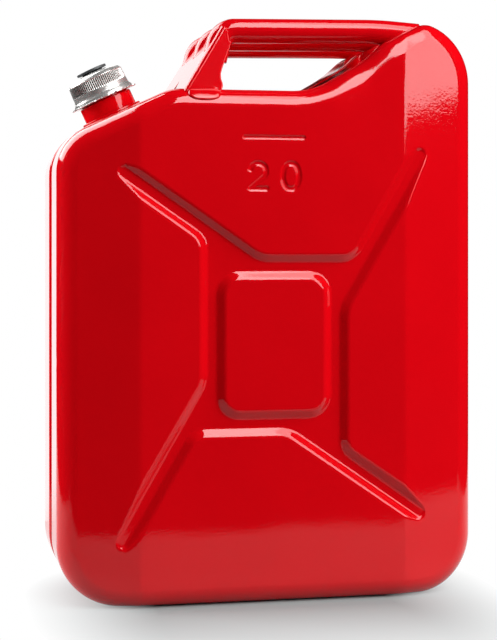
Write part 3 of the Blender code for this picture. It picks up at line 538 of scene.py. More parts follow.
def mark_lines():
    """Middle lines of the pressed-in marks: a level bar and a plain number."""
    turn = np.linspace(0, 2 * math.pi, 41)
    zero = np.stack([13.0 + 6.6 * np.sign(np.cos(turn)) * np.abs(np.cos(turn)) ** 0.8,
                     343 + 10.2 * np.sin(turn)], axis=1)
    hook = np.radians(np.linspace(165, -35, 21))
    two = np.concatenate([
        np.stack([-14.0 + 6.6 * np.cos(hook), 346.6 + 6.6 * np.sin(hook)], axis=1),
        [(-20.2, 332.9), (-7.4, 332.9)],
    ])
    bar = np.array([(-25.0, 374.0), (23.5, 374.0)])
    return [(bar * MM, 1.7 * MM), (two * MM, 2.2 * MM), (zero * MM, 2.2 * MM)]


class Face:
    """Depth of the pressed face anywhere: channels, raised square, falling bands, marks and waves."""

    def __init__(self, sizes, marks):
        self.sizes = sizes
        self.floor = rounded_line(channel_corners(), 1.0)[0]
        self.square = rounded_line(square_corners(), 1.0)[0]
        self.outline = can_outline()[0]
        self.marks = mark_lines() if marks else []

    def band(self, x):
        """Fall of the side bands: their slope times the distance past the crease, bent softly."""
        return BAND_SLOPE * ramp(np.abs(x) - CREASE_X, self.sizes.crease_soft)

    def swell(self, points):
        """Soft fall of the face toward the outline round the hump: half the square of the way into it."""
        share = near_share(points, BROW_X, HUMP_Z - SWELL_DROP, SWELL_NEAR, SWELL_FADE)
        total = np.zeros(len(points))
        near = share > 0
        inside = np.maximum(SWELL_REACH + signed_distance(points[near], self.outline), 0)
        total[near] = share[near] * inside ** 2 / (2 * SWELL_R)
        return total

    def wave(self, points):
        """Slow waves of the sheet: products of long sines."""
        x, z = 2 * math.pi * points.T
        slow = np.sin(x / 0.131 + 0.4) * np.sin(z / 0.173 + 1.1)
        quick = np.sin((x + 0.4 * z) / 0.057 + 2.0) * np.sin(z / 0.083 + 0.2)
        return self.sizes.wave_height * (0.75 * slow + 0.25 * quick)

    def climb(self, points):
        """Distance out of the channel floor: away from the X's edge, or into the square."""
        return np.maximum(signed_distance(points, self.floor), -signed_distance(points, self.square))

    def depth(self, points):
        """Channel depth less its wall's rise, or the band's fall where that is more, and the marks."""
        s = self.sizes
        out = self.climb(points)
        rise = ramp(out, s.foot_soft) - ramp(out - PRESS_WALL, s.top_soft)
        sunk = PRESS_DEPTH * (1 - rise / PRESS_WALL)
        total = larger(sunk, self.band(points[:, 0]), s.ridge_soft)
        near = (np.abs(points[:, 0]) < MARK_HALF_W) & (np.abs(points[:, 1] - MARK_Z) < MARK_HALF_H)
        for path, half in self.marks:
            if near.any():
                reach = line_distance(points[near], path)
                total[near] += s.mark_depth * (1 - smooth_step((reach - 0.35 * half) / (0.9 * half)))
        return total + self.wave(points) + self.swell(points)

    def normal(self, points):
        """Outward direction as (x, out, z), from the depth's slope over a fifth of a millimetre."""
        step = 0.2 * MM
        dx, dz = [(self.depth(points + way) - self.depth(points - way)) / (2 * step)
                  for way in np.array([(step, 0), (0, step)])]
        normal = xyz(dx, 1.0, dz)
        return normal / np.linalg.norm(normal, axis=1)[:, None]


def neck_gap(spots):
    """Distance of places in the outline's plane from the neck's collar."""
    return np.hypot(spots[:, 0] - NECK_X, spots[:, 1] - NECK_Z) - COLLAR_R


def groove_share(spots):
    """1 where the seam groove has its full depth, 0 where the shoulder is flat for the neck."""
    return smooth_step((neck_gap(spots) - FLAT_MARGIN) / FLAT_RAMP)


def near_share(spots, x, z, near, fade):
    """1 round a place in the face out to a distance, fading to 0 past it."""
    return 1 - smooth_step((np.hypot(spots[:, 0] - x, spots[:, 1] - z) - near) / fade)


def edge_grid(face, outline, normals):
    """Groove, side and rounded edge of one half: a profile carried round the outline.

    The profile's inset and distance from the seam plane are the groove floor, a smooth step out of it,
    the level side, and a quarter circle of the edge radius onto the face.
    """
    floor = groove_share(outline)[:, None] * GROOVE_DEPTH
    inner = outline - normals * EDGE_R
    eased = sum(np.roll(inner, shift, axis=0) for shift in range(-CREST_EASE, CREST_EASE + 1))
    eased = eased / (2 * CREST_EASE + 1) - inner
    eased *= near_share(outline, CREST_X, HUMP_Z - CREST_DROP, CREST_NEAR, CREST_FADE)[:, None]
    rows = []

    def row(spots, out):
        rows.append(xyz(spots[:, 0], out, spots[:, 1]))

    for out in (RIM_GAP / 2, 1.6 * MM, 3.2 * MM, 4.6 * MM):
        row(outline - normals * floor, out)
    for step in np.linspace(0.04, 1, 14):
        row(outline - normals * floor * (1 - smooth_step(step)), GROOVE_FLOOR / 2 + GROOVE_WALL * step)
    low = GROOVE_FLOOR / 2 + GROOVE_WALL
    side = HALF_D - EDGE_R - face.band(outline[:, 0])
    for step in (0.06, 0.2, 0.4, 0.6, 0.8, 0.94):
        row(outline, low + (side - low) * step)
    for angle in np.radians(np.linspace(0, 90, 17)):
        inset = EDGE_R * (1 - math.cos(angle))
        spots = outline - normals * inset + eased * inset / EDGE_R
        drop = face.band(spots[:, 0]) + (face.wave(spots) + face.swell(spots)) * math.sin(angle) ** 4
        row(spots, HALF_D - drop - EDGE_R + EDGE_R * math.sin(angle))
    return np.stack(rows)


def grid_normals(points):
    """Normals of a grid closed along its columns: the cross product of its two directions."""
    along = np.roll(points, -1, axis=1) - np.roll(points, 1, axis=1)
    across = np.gradient(points, axis=0)
    normal = np.cross(across, along)
    return normal / np.linalg.norm(normal, axis=2)[..., None]


def filler_points(low, high, pitch):
    """Staggered grid of points between two corners."""
    rows = np.arange(low[1], high[1], pitch * 0.866)
    cols = np.arange(low[0], high[0], pitch)
    x, z = np.meshgrid(cols, rows)
    x = x + np.where(np.arange(len(rows)) % 2 == 0, 0.0, pitch / 2)[:, None]
    return np.stack([x.ravel(), z.ravel()], axis=1)


def face_points(face, rim):
    """Points of the face: lines beside the channel's and the square's edges, the marks and a filler."""
    loops = [rim]
    reaches = (-1.7, -0.85, 0.0, 0.85, 1.9, 3.4, 4.6, 5.5, 6.4, 7.3, 8.3, 9.6)
    for corners, way in ((channel_corners(), MM), (square_corners(), -MM)):
        line, normal = rounded_line(corners, 2.4 * MM, math.radians(9))
        loops += [line + normal * reach * way for reach in reaches]
    filler = [filler_points((-HALF_W, 0), (HALF_W, HUMP_Z), 6 * MM)]
    if face.marks:
        marks = filler_points((-28 * MM, 329 * MM), (27 * MM, 378 * MM), 0.62 * MM)
        near = np.min([line_distance(marks, path) - half for path, half in face.marks], axis=0)
        filler.append(marks[near < 1.1 * MM])
    crease = CREASE_X + np.array([-2.4, -1.2, 0, 1.2, 2.4]) * MM
    columns = np.meshgrid(np.concatenate([crease, -crease]), np.arange(3 * MM, HUMP_Z, 4 * MM))
    filler = np.concatenate([*filler, np.stack(columns, axis=-1).reshape(-1, 2)])
    filler = filler[signed_distance(filler, rim) < -1.2 * MM]
    climb = face.climb(filler)
    return loops, filler[(climb > 11 * MM) | (climb < -2.5 * MM)]


def skin_parts(face, outline, normals):
    """One half's outer skin as (x, out, z) points, faces and normals."""
    rows = edge_grid(face, outline, normals)
    bent = grid_normals(rows)
    size = len(outline)
    count = rows.shape[0] * size
    index = np.arange(count).reshape(-1, size)
    quads = quads_of(np.concatenate([index, index[:, :1]], axis=1))
    loops, filler = face_points(face, rows[-1][:, [0, 2]])
    edges, start = [], 0
    for loop in loops:
        ids = start + np.arange(len(loop))
        edges.append(np.stack([ids, np.roll(ids, -1)], axis=1))
        start += len(loop)
    flat = np.concatenate(loops + [filler])
    made = delaunay_2d_cdt([Vector(p) for p in (flat / MM).tolist()], np.concatenate(edges).tolist(),
                           [], 1, 0.0005)
    spots = np.array([tuple(p) for p in made[0]]) * MM
    origin = np.array([min(ids) if ids else -1 for ids in made[3]])
    on_rim = (origin >= 0) & (origin < size)
    place_of = np.where(on_rim, count - size + origin, count + np.cumsum(~on_rim) - 1)
    inner = spots[~on_rim]
    bent[-1] = face.normal(rows[-1][:, [0, 2]])
    points = np.concatenate([rows.reshape(-1, 3), xyz(inner[:, 0], HALF_D - face.depth(inner), inner[:, 1])])
    points[:, 1] = np.minimum(points[:, 1], HALF_D)
    directions = np.concatenate([bent.reshape(-1, 3), face.normal(inner)])
    return points, quads, place_of[np.array(made[2])], directions


def skin_mesh(name, face, front):
    """Thin closed sheet of one half: its outer skin, the same set in by the sheet, and the rims.

    The sense of each face is taken from the normals, so it is right for either half. The points inside
    the neck's hole are moved out to its edge, and the faces between them are left out.
    """
    points, quads, triangles, directions = skin_parts(face, *can_outline())
    points[:, 1] *= -1 if front else 1
    directions[:, 1] *= -1 if front else 1
    across, height = turned(points[:, 0] - NECK_X, points[:, 2] - NECK_Z, -SHOULDER_ANGLE)
    away = np.hypot(across, points[:, 1])
    cut = (away < NECK_HOLE_R) & (np.abs(height) < 12 * MM)
    faces = []
    for group in (quads, triangles):
        a, b, c = np.moveaxis(points[group[:, :3]], 1, 0)
        inward = np.einsum("ij,ij->i", np.cross(b - a, c - a), directions[group[:, 0]]) < 0
        group = np.where(inward[:, None], group[:, ::-1], group)
        faces.append(group[~cut[group].all(axis=1)])
    grow = np.where(cut, NECK_HOLE_R / np.maximum(away, 1e-6), 1.0)
    shift, rise = turned(across * (grow - 1), 0.0, SHOULDER_ANGLE)
    points[:, 0] += shift
    points[:, 2] += rise
    points[:, 1] *= grow
    used = np.unique(np.concatenate([group.ravel() for group in faces]))
    renumber = np.full(len(points), -1)
    renumber[used] = np.arange(len(used))
    faces = [renumber[group] for group in faces]
    points, directions = points[used], directions[used]
    count = len(points)
    pairs = np.concatenate([np.stack([group, np.roll(group, -1, axis=1)], axis=-1).reshape(-1, 2)
                            for group in faces])
    key = pairs[:, 0] * count + pairs[:, 1]
    lone = pairs[~np.isin(key, pairs[:, 1] * count + pairs[:, 0])]
    rims = np.stack([lone[:, 1], lone[:, 0], lone[:, 0] + count, lone[:, 1] + count], axis=1)
    every = [group.tolist() for group in (*faces, *[group[:, ::-1] + count for group in faces], rims)]
    both = np.concatenate([points, points - directions * SHEET])
    mesh = bpy.data.meshes.new(name)
    mesh.from_pydata(both.tolist(), [], sum(every, []))
    mesh.shade_smooth()
    mesh.normals_split_custom_set_from_vertices(np.concatenate([directions, -directions]).tolist())
    return mesh


# Round pieces

def around_axis(radius, height, turn):
    """Points at a radius and a height about the upright axis, by the turn."""
    return xyz(radius * np.cos(turn), radius * np.sin(turn), height)


def turned_points(profile, count):
    """A profile of (radius, height) spun about the neck's axis: rows follow the profile."""
    radius, height = np.asarray(profile, dtype=float).T[..., None]
    return around_axis(radius, height, full_turn(count))


def soft_profile(corners, radii, steps=5):
    """Closed profile through (radius, height) corners, each rounded by a curve of its own size."""
    spots, soft = np.asarray(corners), np.maximum(radii, 1e-6)
    arrive, leave, shorter, turn = corner_turns(spots)
    reach = np.minimum(soft * np.tan(np.abs(turn) / 2), 0.45 * shorter)
    share = np.linspace(0, 1, steps + 1)[:, None]
    rows = []
    for spot, way_in, way_out, room, size in zip(spots, arrive, leave, reach, soft):
        a, b = spot - way_in * room, spot + way_out * room
        curve = (1 - share) ** 2 * a + 2 * share * (1 - share) * spot + share ** 2 * b
        rows.append(curve if size >= 1e-5 else spot[None, :])
    return np.concatenate(rows)


def rounded_lip(radius, height, size, degrees):
    """Profile points of an outer edge rounded by a quarter circle, from its foot up."""
    angle = np.radians(degrees)
    return [*zip(radius - size * (1 - np.cos(angle)), height + size * np.sin(angle))]


def neck_mesh(name):
    """Neck tube: plain foot, step and a helical thread.

    Over the thread the radius is the core's plus a rounded ridge, whose place in the pitch is the
    height less the share of a turn, fading in and out at the thread's ends.
    """
    bore, core = NECK_R - NECK_WALL, THREAD_R - THREAD_CREST
    mouth = core - NECK_WALL
    outer = [(NECK_R, -5 * MM), (NECK_R, 0.0), (NECK_R, 6 * MM), (NECK_R, NECK_STEP_H - 1.4 * MM)]
    outer += rounded_lip(NECK_R, NECK_STEP_H - 1.4 * MM, 1.2 * MM, [18, 36, 54, 72, 90])
    below = len(outer)
    heights = np.arange(NECK_STEP_H - 0.15 * MM, NECK_TOP_H - 1.0 * MM, 0.3 * MM)
    outer += [(core, h) for h in heights]
    outer += rounded_lip(core, NECK_TOP_H - 0.9 * MM, 0.9 * MM, [0, 30, 60, 90])
    inner = [(mouth, NECK_TOP_H), (mouth - 0.2 * MM, NECK_TOP_H - 0.6 * MM), (mouth - 0.2 * MM, NECK_STEP_H),
             (bore - 0.4 * MM, NECK_STEP_H - 2.0 * MM), (bore, NECK_STEP_H - 3.4 * MM), (bore, 0.0),
             (bore, -5 * MM)]
    points = turned_points(outer + inner, 144)
    thread = points[below:below + len(heights)]
    share = np.arange(144) / 144
    turns = (thread[..., 2] - NECK_STEP_H - 2.2 * MM) / THREAD_PITCH - share
    phase = np.abs((turns + 0.5) % 1.0 - 0.5)
    whole = np.round(turns) + share
    fade = smooth_step(whole / 0.12) * smooth_step((2.0 - whole) / 0.12)
    ridge = THREAD_CREST * (1 - smooth_step((phase - 0.10) / 0.17)) * fade
    thread[..., :2] *= (1 + ridge / core)[..., None]
    return ring_mesh(name, points)


def weld_ring(name, radius, size, ripples):
    """Bead round the neck: a small circle carried round a large one, its size rippling as it was laid."""
    turn, swing = full_turn(288), full_turn(12)[:, None]
    ripple = 1 + 0.10 * np.abs(np.sin(ripples * turn / 2))
    thick = size * (ripple + 0.09 * np.sin(5 * turn + 1.0) + 0.05 * np.sin(11 * turn))
    across = radius + 0.1 * size * np.sin(3 * turn + 0.6) + np.cos(swing) * thick
    height = 0.8 * np.sin(swing) * thick + 0.1 * size
    return ring_mesh(name, around_axis(across, height, turn))


def knurled_cap(name, sizes):
    """Cap cup: a closed profile spun about the axis, with ridges round the band below its shoulder.

    The knurled radius is the profile's less the knurl depth times a rounded wave of the turn; the wave
    fades at the band's lower end and at the shoulder.
    """
    under, shoulder = CAP_H - 1.0 * MM, CAP_H - CAP_SHOULDER
    outer = soft_profile([
        (CAP_R + 2.1 * MM, BRIM_SHEET), (CAP_R + 1.5 * MM, BRIM_SHEET + 1.6 * MM),
        (CAP_R + 0.1 * MM, BRIM_SHEET + 3.8 * MM), (CAP_R - 0.25 * MM, 8.2 * MM),
        (CAP_R - 0.75 * MM, shoulder + 0.3 * MM), (CAP_R - 3.0 * MM, CAP_H - 1.9 * MM),
        (TOP_DISC_R + 0.6 * MM, CAP_H - 0.25 * MM), (RIVET_R + 0.7 * MM, CAP_H),
        (RIVET_R + 0.7 * MM, under), (TOP_DISC_R, under - 0.3 * MM),
        (CAP_R - 3.6 * MM, CAP_H - 2.9 * MM), (CAP_R - 1.8 * MM, shoulder - 0.4 * MM),
        (CAP_R - 1.25 * MM, 8 * MM), (CAP_R - 0.9 * MM, BRIM_SHEET + 4 * MM),
        (CAP_R + 0.4 * MM, BRIM_SHEET + 2.0 * MM), (CAP_R + 1.1 * MM, BRIM_SHEET),
    ], [m * MM for m in (0.2, 3, 4, 30, 1.3, 6, 3, 0.2, 0.2, 3, 5, 1, 20, 3, 3, 0.2)], steps=6)
    dense = [outer[:1]]
    for a, b in zip(outer[:-1], outer[1:]):
        fine = b[0] > CAP_R - 1.0 * MM
        pieces = max(1, math.ceil(np.linalg.norm(b - a) / (0.55 * MM))) if fine else 1
        dense.append(a + (b - a) * (np.arange(1, pieces + 1) / pieces)[:, None])
    profile = np.concatenate(dense)
    r, h = profile.T
    count = sizes.knurl_count * 8
    points = turned_points(profile, count)
    wave = (0.5 + 0.5 * np.cos(sizes.knurl_count * full_turn(count))) ** 0.8
    outside = (np.arange(len(profile)) < np.argmax(h)) & (r > CAP_R - 1.2 * MM)
    band = smooth_step((h - sizes.knurl_low) / (1.6 * MM))
    band = (band * smooth_step((shoulder + 0.5 * MM - h) / (0.9 * MM)) * outside)[:, None]
    dent = sizes.knurl_depth * band * (1 - wave)
    points[..., :2] *= (1 - dent / np.maximum(r[:, None], 1e-6))[..., None]
    points[..., 2] += CAP_FOOT_H
    # The point value darkens the plating in the grooves between the ridges
    return ring_mesh(name, points, value=(band * (1 - wave)) ** 1.5)


def lugged_brim(name, sizes):
    """Brim: a flat ring whose rim steps in and out; the step is a smooth square wave of the turn.

    The lugs droop a little, as pressed sheet does.
    """
    per_lug = 26
    count = sizes.lug_count * per_lug
    place_in = np.arange(count) / per_lug % 1.0
    lug = smooth_step((place_in - 0.02) / 0.07) * smooth_step((0.60 - place_in) / 0.07)
    rim = BRIM_R - sizes.lug_depth * (1 - lug)
    inner = THREAD_R + BORE_CLEARANCE
    soft = 0.35 * MM
    swing = np.radians(np.linspace(-90, 90, 7))
    flat = [inner + (rim - soft - inner) * share for share in (0.0, 0.35, 0.8)]
    radii = np.stack(flat + [rim - soft + soft * math.cos(a) for a in swing] + flat[::-1])
    heights = np.concatenate([np.zeros(3), BRIM_SHEET / 2 * (1 + np.sin(swing)), np.full(3, BRIM_SHEET)])
    droop = 0.25 * MM * np.clip((radii - CAP_R - 2 * MM) / (BRIM_R - CAP_R), 0, 1)
    return ring_mesh(name, around_axis(radii, heights[:, None] - droop + CAP_FOOT_H, full_turn(count)))


def seam_mesh(name, sizes):
    """Bead in the seam groove: a low arch carried along the groove floor, wandering and rippling."""
    outline, normals = can_outline(1.3 * MM, math.radians(1.6))
    step = np.linalg.norm(np.roll(outline, -1, axis=0) - outline, axis=1)
    gap = neck_gap(outline) - SEAM_GAP
    keep = gap > 0
    first = int(np.argmax(keep & ~np.roll(keep, 1)))
    order = (first + np.arange(int(keep.sum()))) % len(outline)
    outline, normals, along = outline[order], normals[order, None, :], np.cumsum(step[order])
    fade = 0.15 + 0.85 * smooth_step(gap[order] / (6 * MM))
    shift = sizes.bead_wobble * wander(along, ((0.083, 0.7, 0.3), (0.031, 0.4, 1.9), (0.0127, 0.25, 0.7)))
    height = 1.4 * MM * (1 + wander(along, ((0.047, 0.10, 0.0), (0.0113, 0.08, 2.0), (0.0052, 0.05, 1.0))))
    width = 2.2 * MM * (1 + wander(along, ((0.039, 0.06, 1.0), (0.0091, 0.05, 0.5))))
    swing = np.linspace(0, math.pi, 11)
    floor = groove_share(outline)[:, None] * GROOVE_DEPTH
    y = shift[:, None] - np.cos(swing) * width[:, None]
    up = np.sin(swing) ** 0.8 * (height * fade)[:, None] - 0.25 * MM
    top = outline[:, None, :] - normals * (floor - up)[..., None]
    low = outline[:, None, :] - normals * (floor + 0.6 * MM)[..., None]
    top = xyz(top[..., 0], y, top[..., 1])
    low = xyz(low[..., 0], y[:, -2:0:-1], low[..., 1])
    return tube_mesh(name, np.concatenate([top, low], axis=1))


# Handle

def leg_point(along, lift):
    """Place in the upright plane: along the leg from its foot, and off it towards the neck."""
    x, z = turned(along, lift, LEG_ANGLE)
    return np.stack([LEG_X + x, VALLEY_Z + z], axis=-1)


def leg_place(x, z):
    """Distance along the leg and off it of a place in the upright plane."""
    return turned(x - LEG_X, z - VALLEY_Z, -LEG_ANGLE)


def bent_line(corners, spacing, steps):
    """Open line through (x, z, radius) corners, its middle corners arcs, its runs evenly divided."""
    spots = [np.array(c[:2], dtype=float) for c in corners]
    parts = [spots[0][None, :]]
    for i in range(1, len(spots)):
        last = parts[-1][-1]
        if i < len(spots) - 1:
            arrive = spots[i] - spots[i - 1]
            leave = spots[i + 1] - spots[i]
            arrive, leave = arrive / np.linalg.norm(arrive), leave / np.linalg.norm(leave)
            turn = math.atan2(arrive[0] * leave[1] - arrive[1] * leave[0], float(arrive @ leave))
            bend = math.copysign(corners[i][2], turn)
            outward = np.array([arrive[1], -arrive[0]])
            start = spots[i] - arrive * abs(bend) * math.tan(abs(turn) / 2)
            centre = start - outward * bend
            angle = turn * np.linspace(0, 1, steps + 1)[:, None]
            side = np.array([-outward[1], outward[0]])
            arc = centre + (np.cos(angle) * outward + np.sin(angle) * side) * bend
        else:
            start, arc = spots[i], spots[i][None, :]
        pieces = max(1, math.ceil(np.linalg.norm(start - last) / spacing))
        share = (np.arange(1, pieces) / pieces)[:, None]
        parts += [last + (start - last) * share, arc]
    return np.concatenate([part for part in parts if len(part)])


def bar_line():
    """Middle line of a bar: level from the hump, then bent down to sink into the leg."""
    level = HUMP_Z - BAR_R
    steep = LEG_ANGLE + BAR_SINK_ANGLE
    plane = np.array([-math.sin(LEG_ANGLE), math.cos(LEG_ANGLE)])
    down = np.array([-math.cos(steep), -math.sin(steep)])
    outward = np.array([-math.sin(steep), math.cos(steep)])
    reach = BAR_BEND_R * math.tan(steep / 2)
    ridge = down * reach + outward * BAR_R
    x = ((VALLEY_Z - level - ridge[1]) * plane[1] + BAR_PROUD) / plane[0] + LEG_X - ridge[0]
    corner = np.array([x, level])
    end = corner + down * (reach + BAR_PROUD / math.sin(BAR_SINK_ANGLE) + 4 * MM)
    crest_x = BROW_X + 0.25 * BAR_R
    crest = (crest_x, level + (crest_x - corner[0]) * math.tan(BAR_RISE))
    landing = (CREST_X - BAR_SHORT_OF_CREST, crest[1] - BAR_DROOP)
    return bent_line([(*end, 0), (*corner, BAR_BEND_R), (*crest, 30 * BAR_R), (*landing, 0)], 1.5 * MM, 26)


def can_inside(points, face, outline):
    """How far inside the can's surface each point is, positive inside.

    The lesser of the depth under the outline and the depth under the rounded edge; in the seam groove
    the outline is set in by the groove's floor.
    """
    flat = points.reshape(-1, 3)
    inset = -signed_distance(flat[:, [0, 2]], outline)
    y = np.abs(flat[:, 1])
    groove = GROOVE_DEPTH * (1 - smooth_step((y - GROOVE_FLOOR / 2) / GROOVE_WALL))
    under = np.clip(EDGE_R - inset, 0, EDGE_R)
    reach = HALF_D - face.band(flat[:, 0]) - EDGE_R + np.sqrt(EDGE_R ** 2 - under ** 2)
    return np.minimum(inset - groove, reach - y).reshape(points.shape[:-1])


def bar_parts(y, face, outline):
    """Surface of one bar as rows along it, and the line where it lands on the can.

    A circle is carried along the bar's middle line. Below the split its back is pressed flat onto the
    leg, and each line along it stops just under the can's surface.
    """
    line = bar_line()
    way = np.gradient(line, axis=0)
    way /= np.linalg.norm(way, axis=1)[:, None]
    swing = full_turn(48)
    up, last = BAR_R * np.cos(swing), len(line) - 1
    points = xyz(line[:, :1] - way[:, 1:] * up, y + BAR_R * np.sin(swing), line[:, 1:] + way[:, :1] * up)
    along, lift = leg_place(points[..., 0], points[..., 2])
    pressed = leg_point(along, np.maximum(lift, -0.5 * MM))
    row = np.arange(len(line))[:, None]
    on_leg = (along < LEG_SPLIT) & (row < len(line) // 2)
    points[..., [0, 2]] = np.where(on_leg[..., None], pressed, points[..., [0, 2]])
    inside = can_inside(points, face, outline)
    hit = (inside > 0) & (row > len(line) // 2)
    landed = hit.any(axis=0)
    column = np.arange(len(swing))
    row = np.where(landed, np.argmax(hit, axis=0), last)
    before, after = inside[row - 1, column], inside[row, column]
    share = np.where(landed, before / np.minimum(before - after, -1e-9), 1.0)
    stop = row - 1 + np.clip(share, 0, 1)

    def at(place):
        low = np.minimum(place.astype(int), last - 1)
        part = (place - low)[..., None]
        return points[low, column] * (1 - part) + points[low + 1, column] * part

    first = int(np.floor(stop.min())) - 1
    tail = np.linspace(0, 1, 14)[1:, None] * (np.minimum(stop + 1.2, last) - first) + first
    return np.concatenate([points[:first + 1], at(tail)]), at(stop), landed


def bar_mesh(name, y, face, outline):
    """One handle bar, closed at both ends, and the line where it lands on the can."""
    points, contact, landed = bar_parts(y, face, outline)
    order = np.roll(np.arange(len(landed)), -int(np.argmin(landed)))
    return tube_mesh(name, points), contact[order][landed[order]]


def rope_mesh(name, path, radius, sides=10):
    """Bead: a circle carried along an open line of points, square to it."""
    way = np.gradient(path, axis=0)
    way = way / np.maximum(np.linalg.norm(way, axis=1), 1e-9)[:, None]
    side = np.cross(way, [0.13, 0.21, 0.97])
    side /= np.linalg.norm(side, axis=1)[:, None]
    other = np.cross(way, side)
    swing = full_turn(sides)[:, None]
    ring = side[:, None, :] * np.cos(swing) + other[:, None, :] * np.sin(swing)
    return tube_mesh(name, path[:, None, :] + ring * radius)


def cheek_reach(share):
    """How far a cheek stands back from the leg's face, by share of the leg's length.

    Upright below the flare, then a rounded flare, a waist and a slow taper to the top.
    """
    below = 25.4 * MM + (0.30 - share) * LEG_LENGTH / math.tan(LEG_ANGLE)
    table_share = np.array([0.22, 0.30, 0.335, 0.37, 0.42, 0.48, 0.60, 0.72, 0.86, 1.0, 1.1])
    table_reach = np.array([26.6, 25.2, 23.6, 21.0, 18.9, 17.9, 16.4, 15.0, 13.4, 12.0, 11.4]) * MM
    smooth = np.interp(share, table_share, table_reach)
    return np.where(share < 0.22, np.minimum(below, 31 * MM), smooth)


def leg_mesh(name):
    """Leg of folded sheet: a plate, two round folds and two cheeks, as one surface.

    Across the sheet the first parameter runs over the cheek, the quarter circle of the fold and the
    plate; the second runs up from the can's surface to the leg's top edge. The sheet is left open
    where a bar passes through it.
    """
    fold = np.radians(np.linspace(0, 90, 9))
    web = np.linspace(-1, 1, 95)[1:-1]
    cheek = np.linspace(1, 0, 19)[:-1]
    n, half_cols = len(cheek), len(cheek) + len(fold)
    rise = np.linspace(0, 1, 62)[:, None]
    c, s = math.cos(LEG_ANGLE), math.sin(LEG_ANGLE)
    share = np.zeros((62, 2 * half_cols + len(web)))
    for _ in range(6):
        half = (LEG_FOOT_WIDTH + (LEG_TOP_WIDTH - LEG_FOOT_WIDTH) * share) / 2
        reach = cheek_reach(share)
        y, lift = np.zeros_like(share), np.zeros_like(share)
        y[:, :n] = half[:, :n]
        lift[:, :n] = -(LEG_FOLD_R + (reach[:, :n] - LEG_FOLD_R) * cheek)
        y[:, n:half_cols] = half[:, n:half_cols] - LEG_FOLD_R * (1 - np.cos(fold))
        lift[:, n:half_cols] = -LEG_FOLD_R * (1 - np.sin(fold))
        y[:, half_cols:-half_cols] = (LEG_FOLD_R - half[:, half_cols:-half_cols]) * web
        y[:, -half_cols:] = -y[:, :half_cols][:, ::-1]
        lift[:, -half_cols:] = lift[:, :half_cols][:, ::-1]
        past = np.maximum(np.abs(y) - (HALF_D - EDGE_R), 0)
        edge_drop = EDGE_R - np.sqrt(np.maximum(EDGE_R ** 2 - past ** 2, 0))
        low = (-edge_drop - lift * c) / s - 0.2 * MM
        notch = LEG_NOTCH_H / s * (1 - np.abs(y) / (LEG_NOTCH_W / 2))
        low = np.maximum(low, np.where(np.abs(y) < LEG_NOTCH_W / 2, notch, -1.0))
        back = np.clip((-lift - LEG_FOLD_R) / (9 * MM), 0, 1)
        high = LEG_LENGTH * (1.0 - 0.13 * smooth_step(back))
        share = (low + (high - low) * rise) / LEG_LENGTH
    spots = leg_point(share * LEG_LENGTH, lift)
    points = xyz(spots[..., 0], y, spots[..., 1])
    away = line_distance(spots.reshape(-1, 2), bar_line())
    gap = np.min([np.hypot(away, y.reshape(-1) - bar_y) for bar_y in (-BAR_PITCH, 0.0, BAR_PITCH)], axis=0)
    hidden = (gap < BAR_R - 1.3 * MM) & (share.reshape(-1) * LEG_LENGTH > LEG_SPLIT)
    form = Form()
    form.grid(points)
    quads = np.array(form.faces)
    form.faces = quads[~hidden[quads].all(axis=1)].tolist()
    return form.mesh(name, turn_out=False)


def foot_tab_mesh(name, front):
    """Oval tab on the can's rounded edge: a dome over an ellipse, bent round the edge.

    Polar parameters: the share out from the middle and the turn round it. The lift is the sheet's
    thickness, falling in a quarter ellipse over the last seventh.
    """
    side = -1 if front else 1
    centre_x = LEG_X + 2 * MM + FOOT_LENGTH / 2
    centre_y, centre_z = HALF_D - EDGE_R, VALLEY_Z - EDGE_R
    share = np.array([0.0, 0.35, 0.7, 0.86, 0.92, 0.96, 0.985, 1.0])[:, None]
    cosine, sine = np.cos(full_turn(72)), np.sin(full_turn(72))
    long_half, wide_half = FOOT_LENGTH / 2, FOOT_WIDTH / 2
    along = share * long_half * np.sign(cosine) * np.abs(cosine) ** 0.72
    arc = share * wide_half * np.sign(sine) * np.abs(sine) ** 0.8
    lift = FOOT_SHEET * np.sqrt(1 - (1 - np.clip((1 - share) / 0.14, 0, 1)) ** 2)
    dents = np.zeros_like(arc)
    for spot in (-0.5, 0.42):
        reach = np.hypot(along - spot * long_half, arc - 0.2 * wide_half)
        dents += 0.35 * MM * (1 - smooth_step(reach / (2.6 * MM)))
    middle = math.asin((LEG_FOOT_WIDTH / 2 - centre_y) / EDGE_R)
    angle = middle + (arc + FOOT_OVER) / EDGE_R

    def over(height):
        return xyz(centre_x + along, side * (centre_y + (EDGE_R + height) * np.sin(angle)),
                   centre_z + (EDGE_R + height) * np.cos(angle))

    under = over(-0.5 * MM)
    form = Form()
    form.grid(over(lift - dents), around=True)
    form.grid(under, around=True)
    form.grid(np.stack([over(lift)[-1], under[-1]]), around=True)
    return form.mesh(name, merge=2e-6)


# Finishes

FLOAT, COLOUR = "NodeSocketFloat", "NodeSocketColor"


def new_material(name):
    """Material with its node tree and its Principled shader."""
    material = bpy.data.materials.new(name)
    material.use_nodes = True
    return material, material.node_tree, material.node_tree.nodes["Principled BSDF"]


def add_node(tree, kind, values=None, **settings):
    """Node of a kind with its settings; its sockets, by name or number, are linked or given values."""
    node = tree.nodes.new(kind)
    for key, value in settings.items():
        setattr(node, key, value)
    for key, value in (values or {}).items():
        if hasattr(value, "links"):
            tree.links.new(value, node.inputs[key])
        else:
            node.inputs[key].default_value = value
    return node


def math_node(tree, operation, a, b=None, clamp=False):
    """Math node fed by sockets or numbers; returns its output."""
    fed = {0: a} if b is None else {0: a, 1: b}
    return add_node(tree, "ShaderNodeMath", fed, operation=operation, use_clamp=clamp).outputs[0]


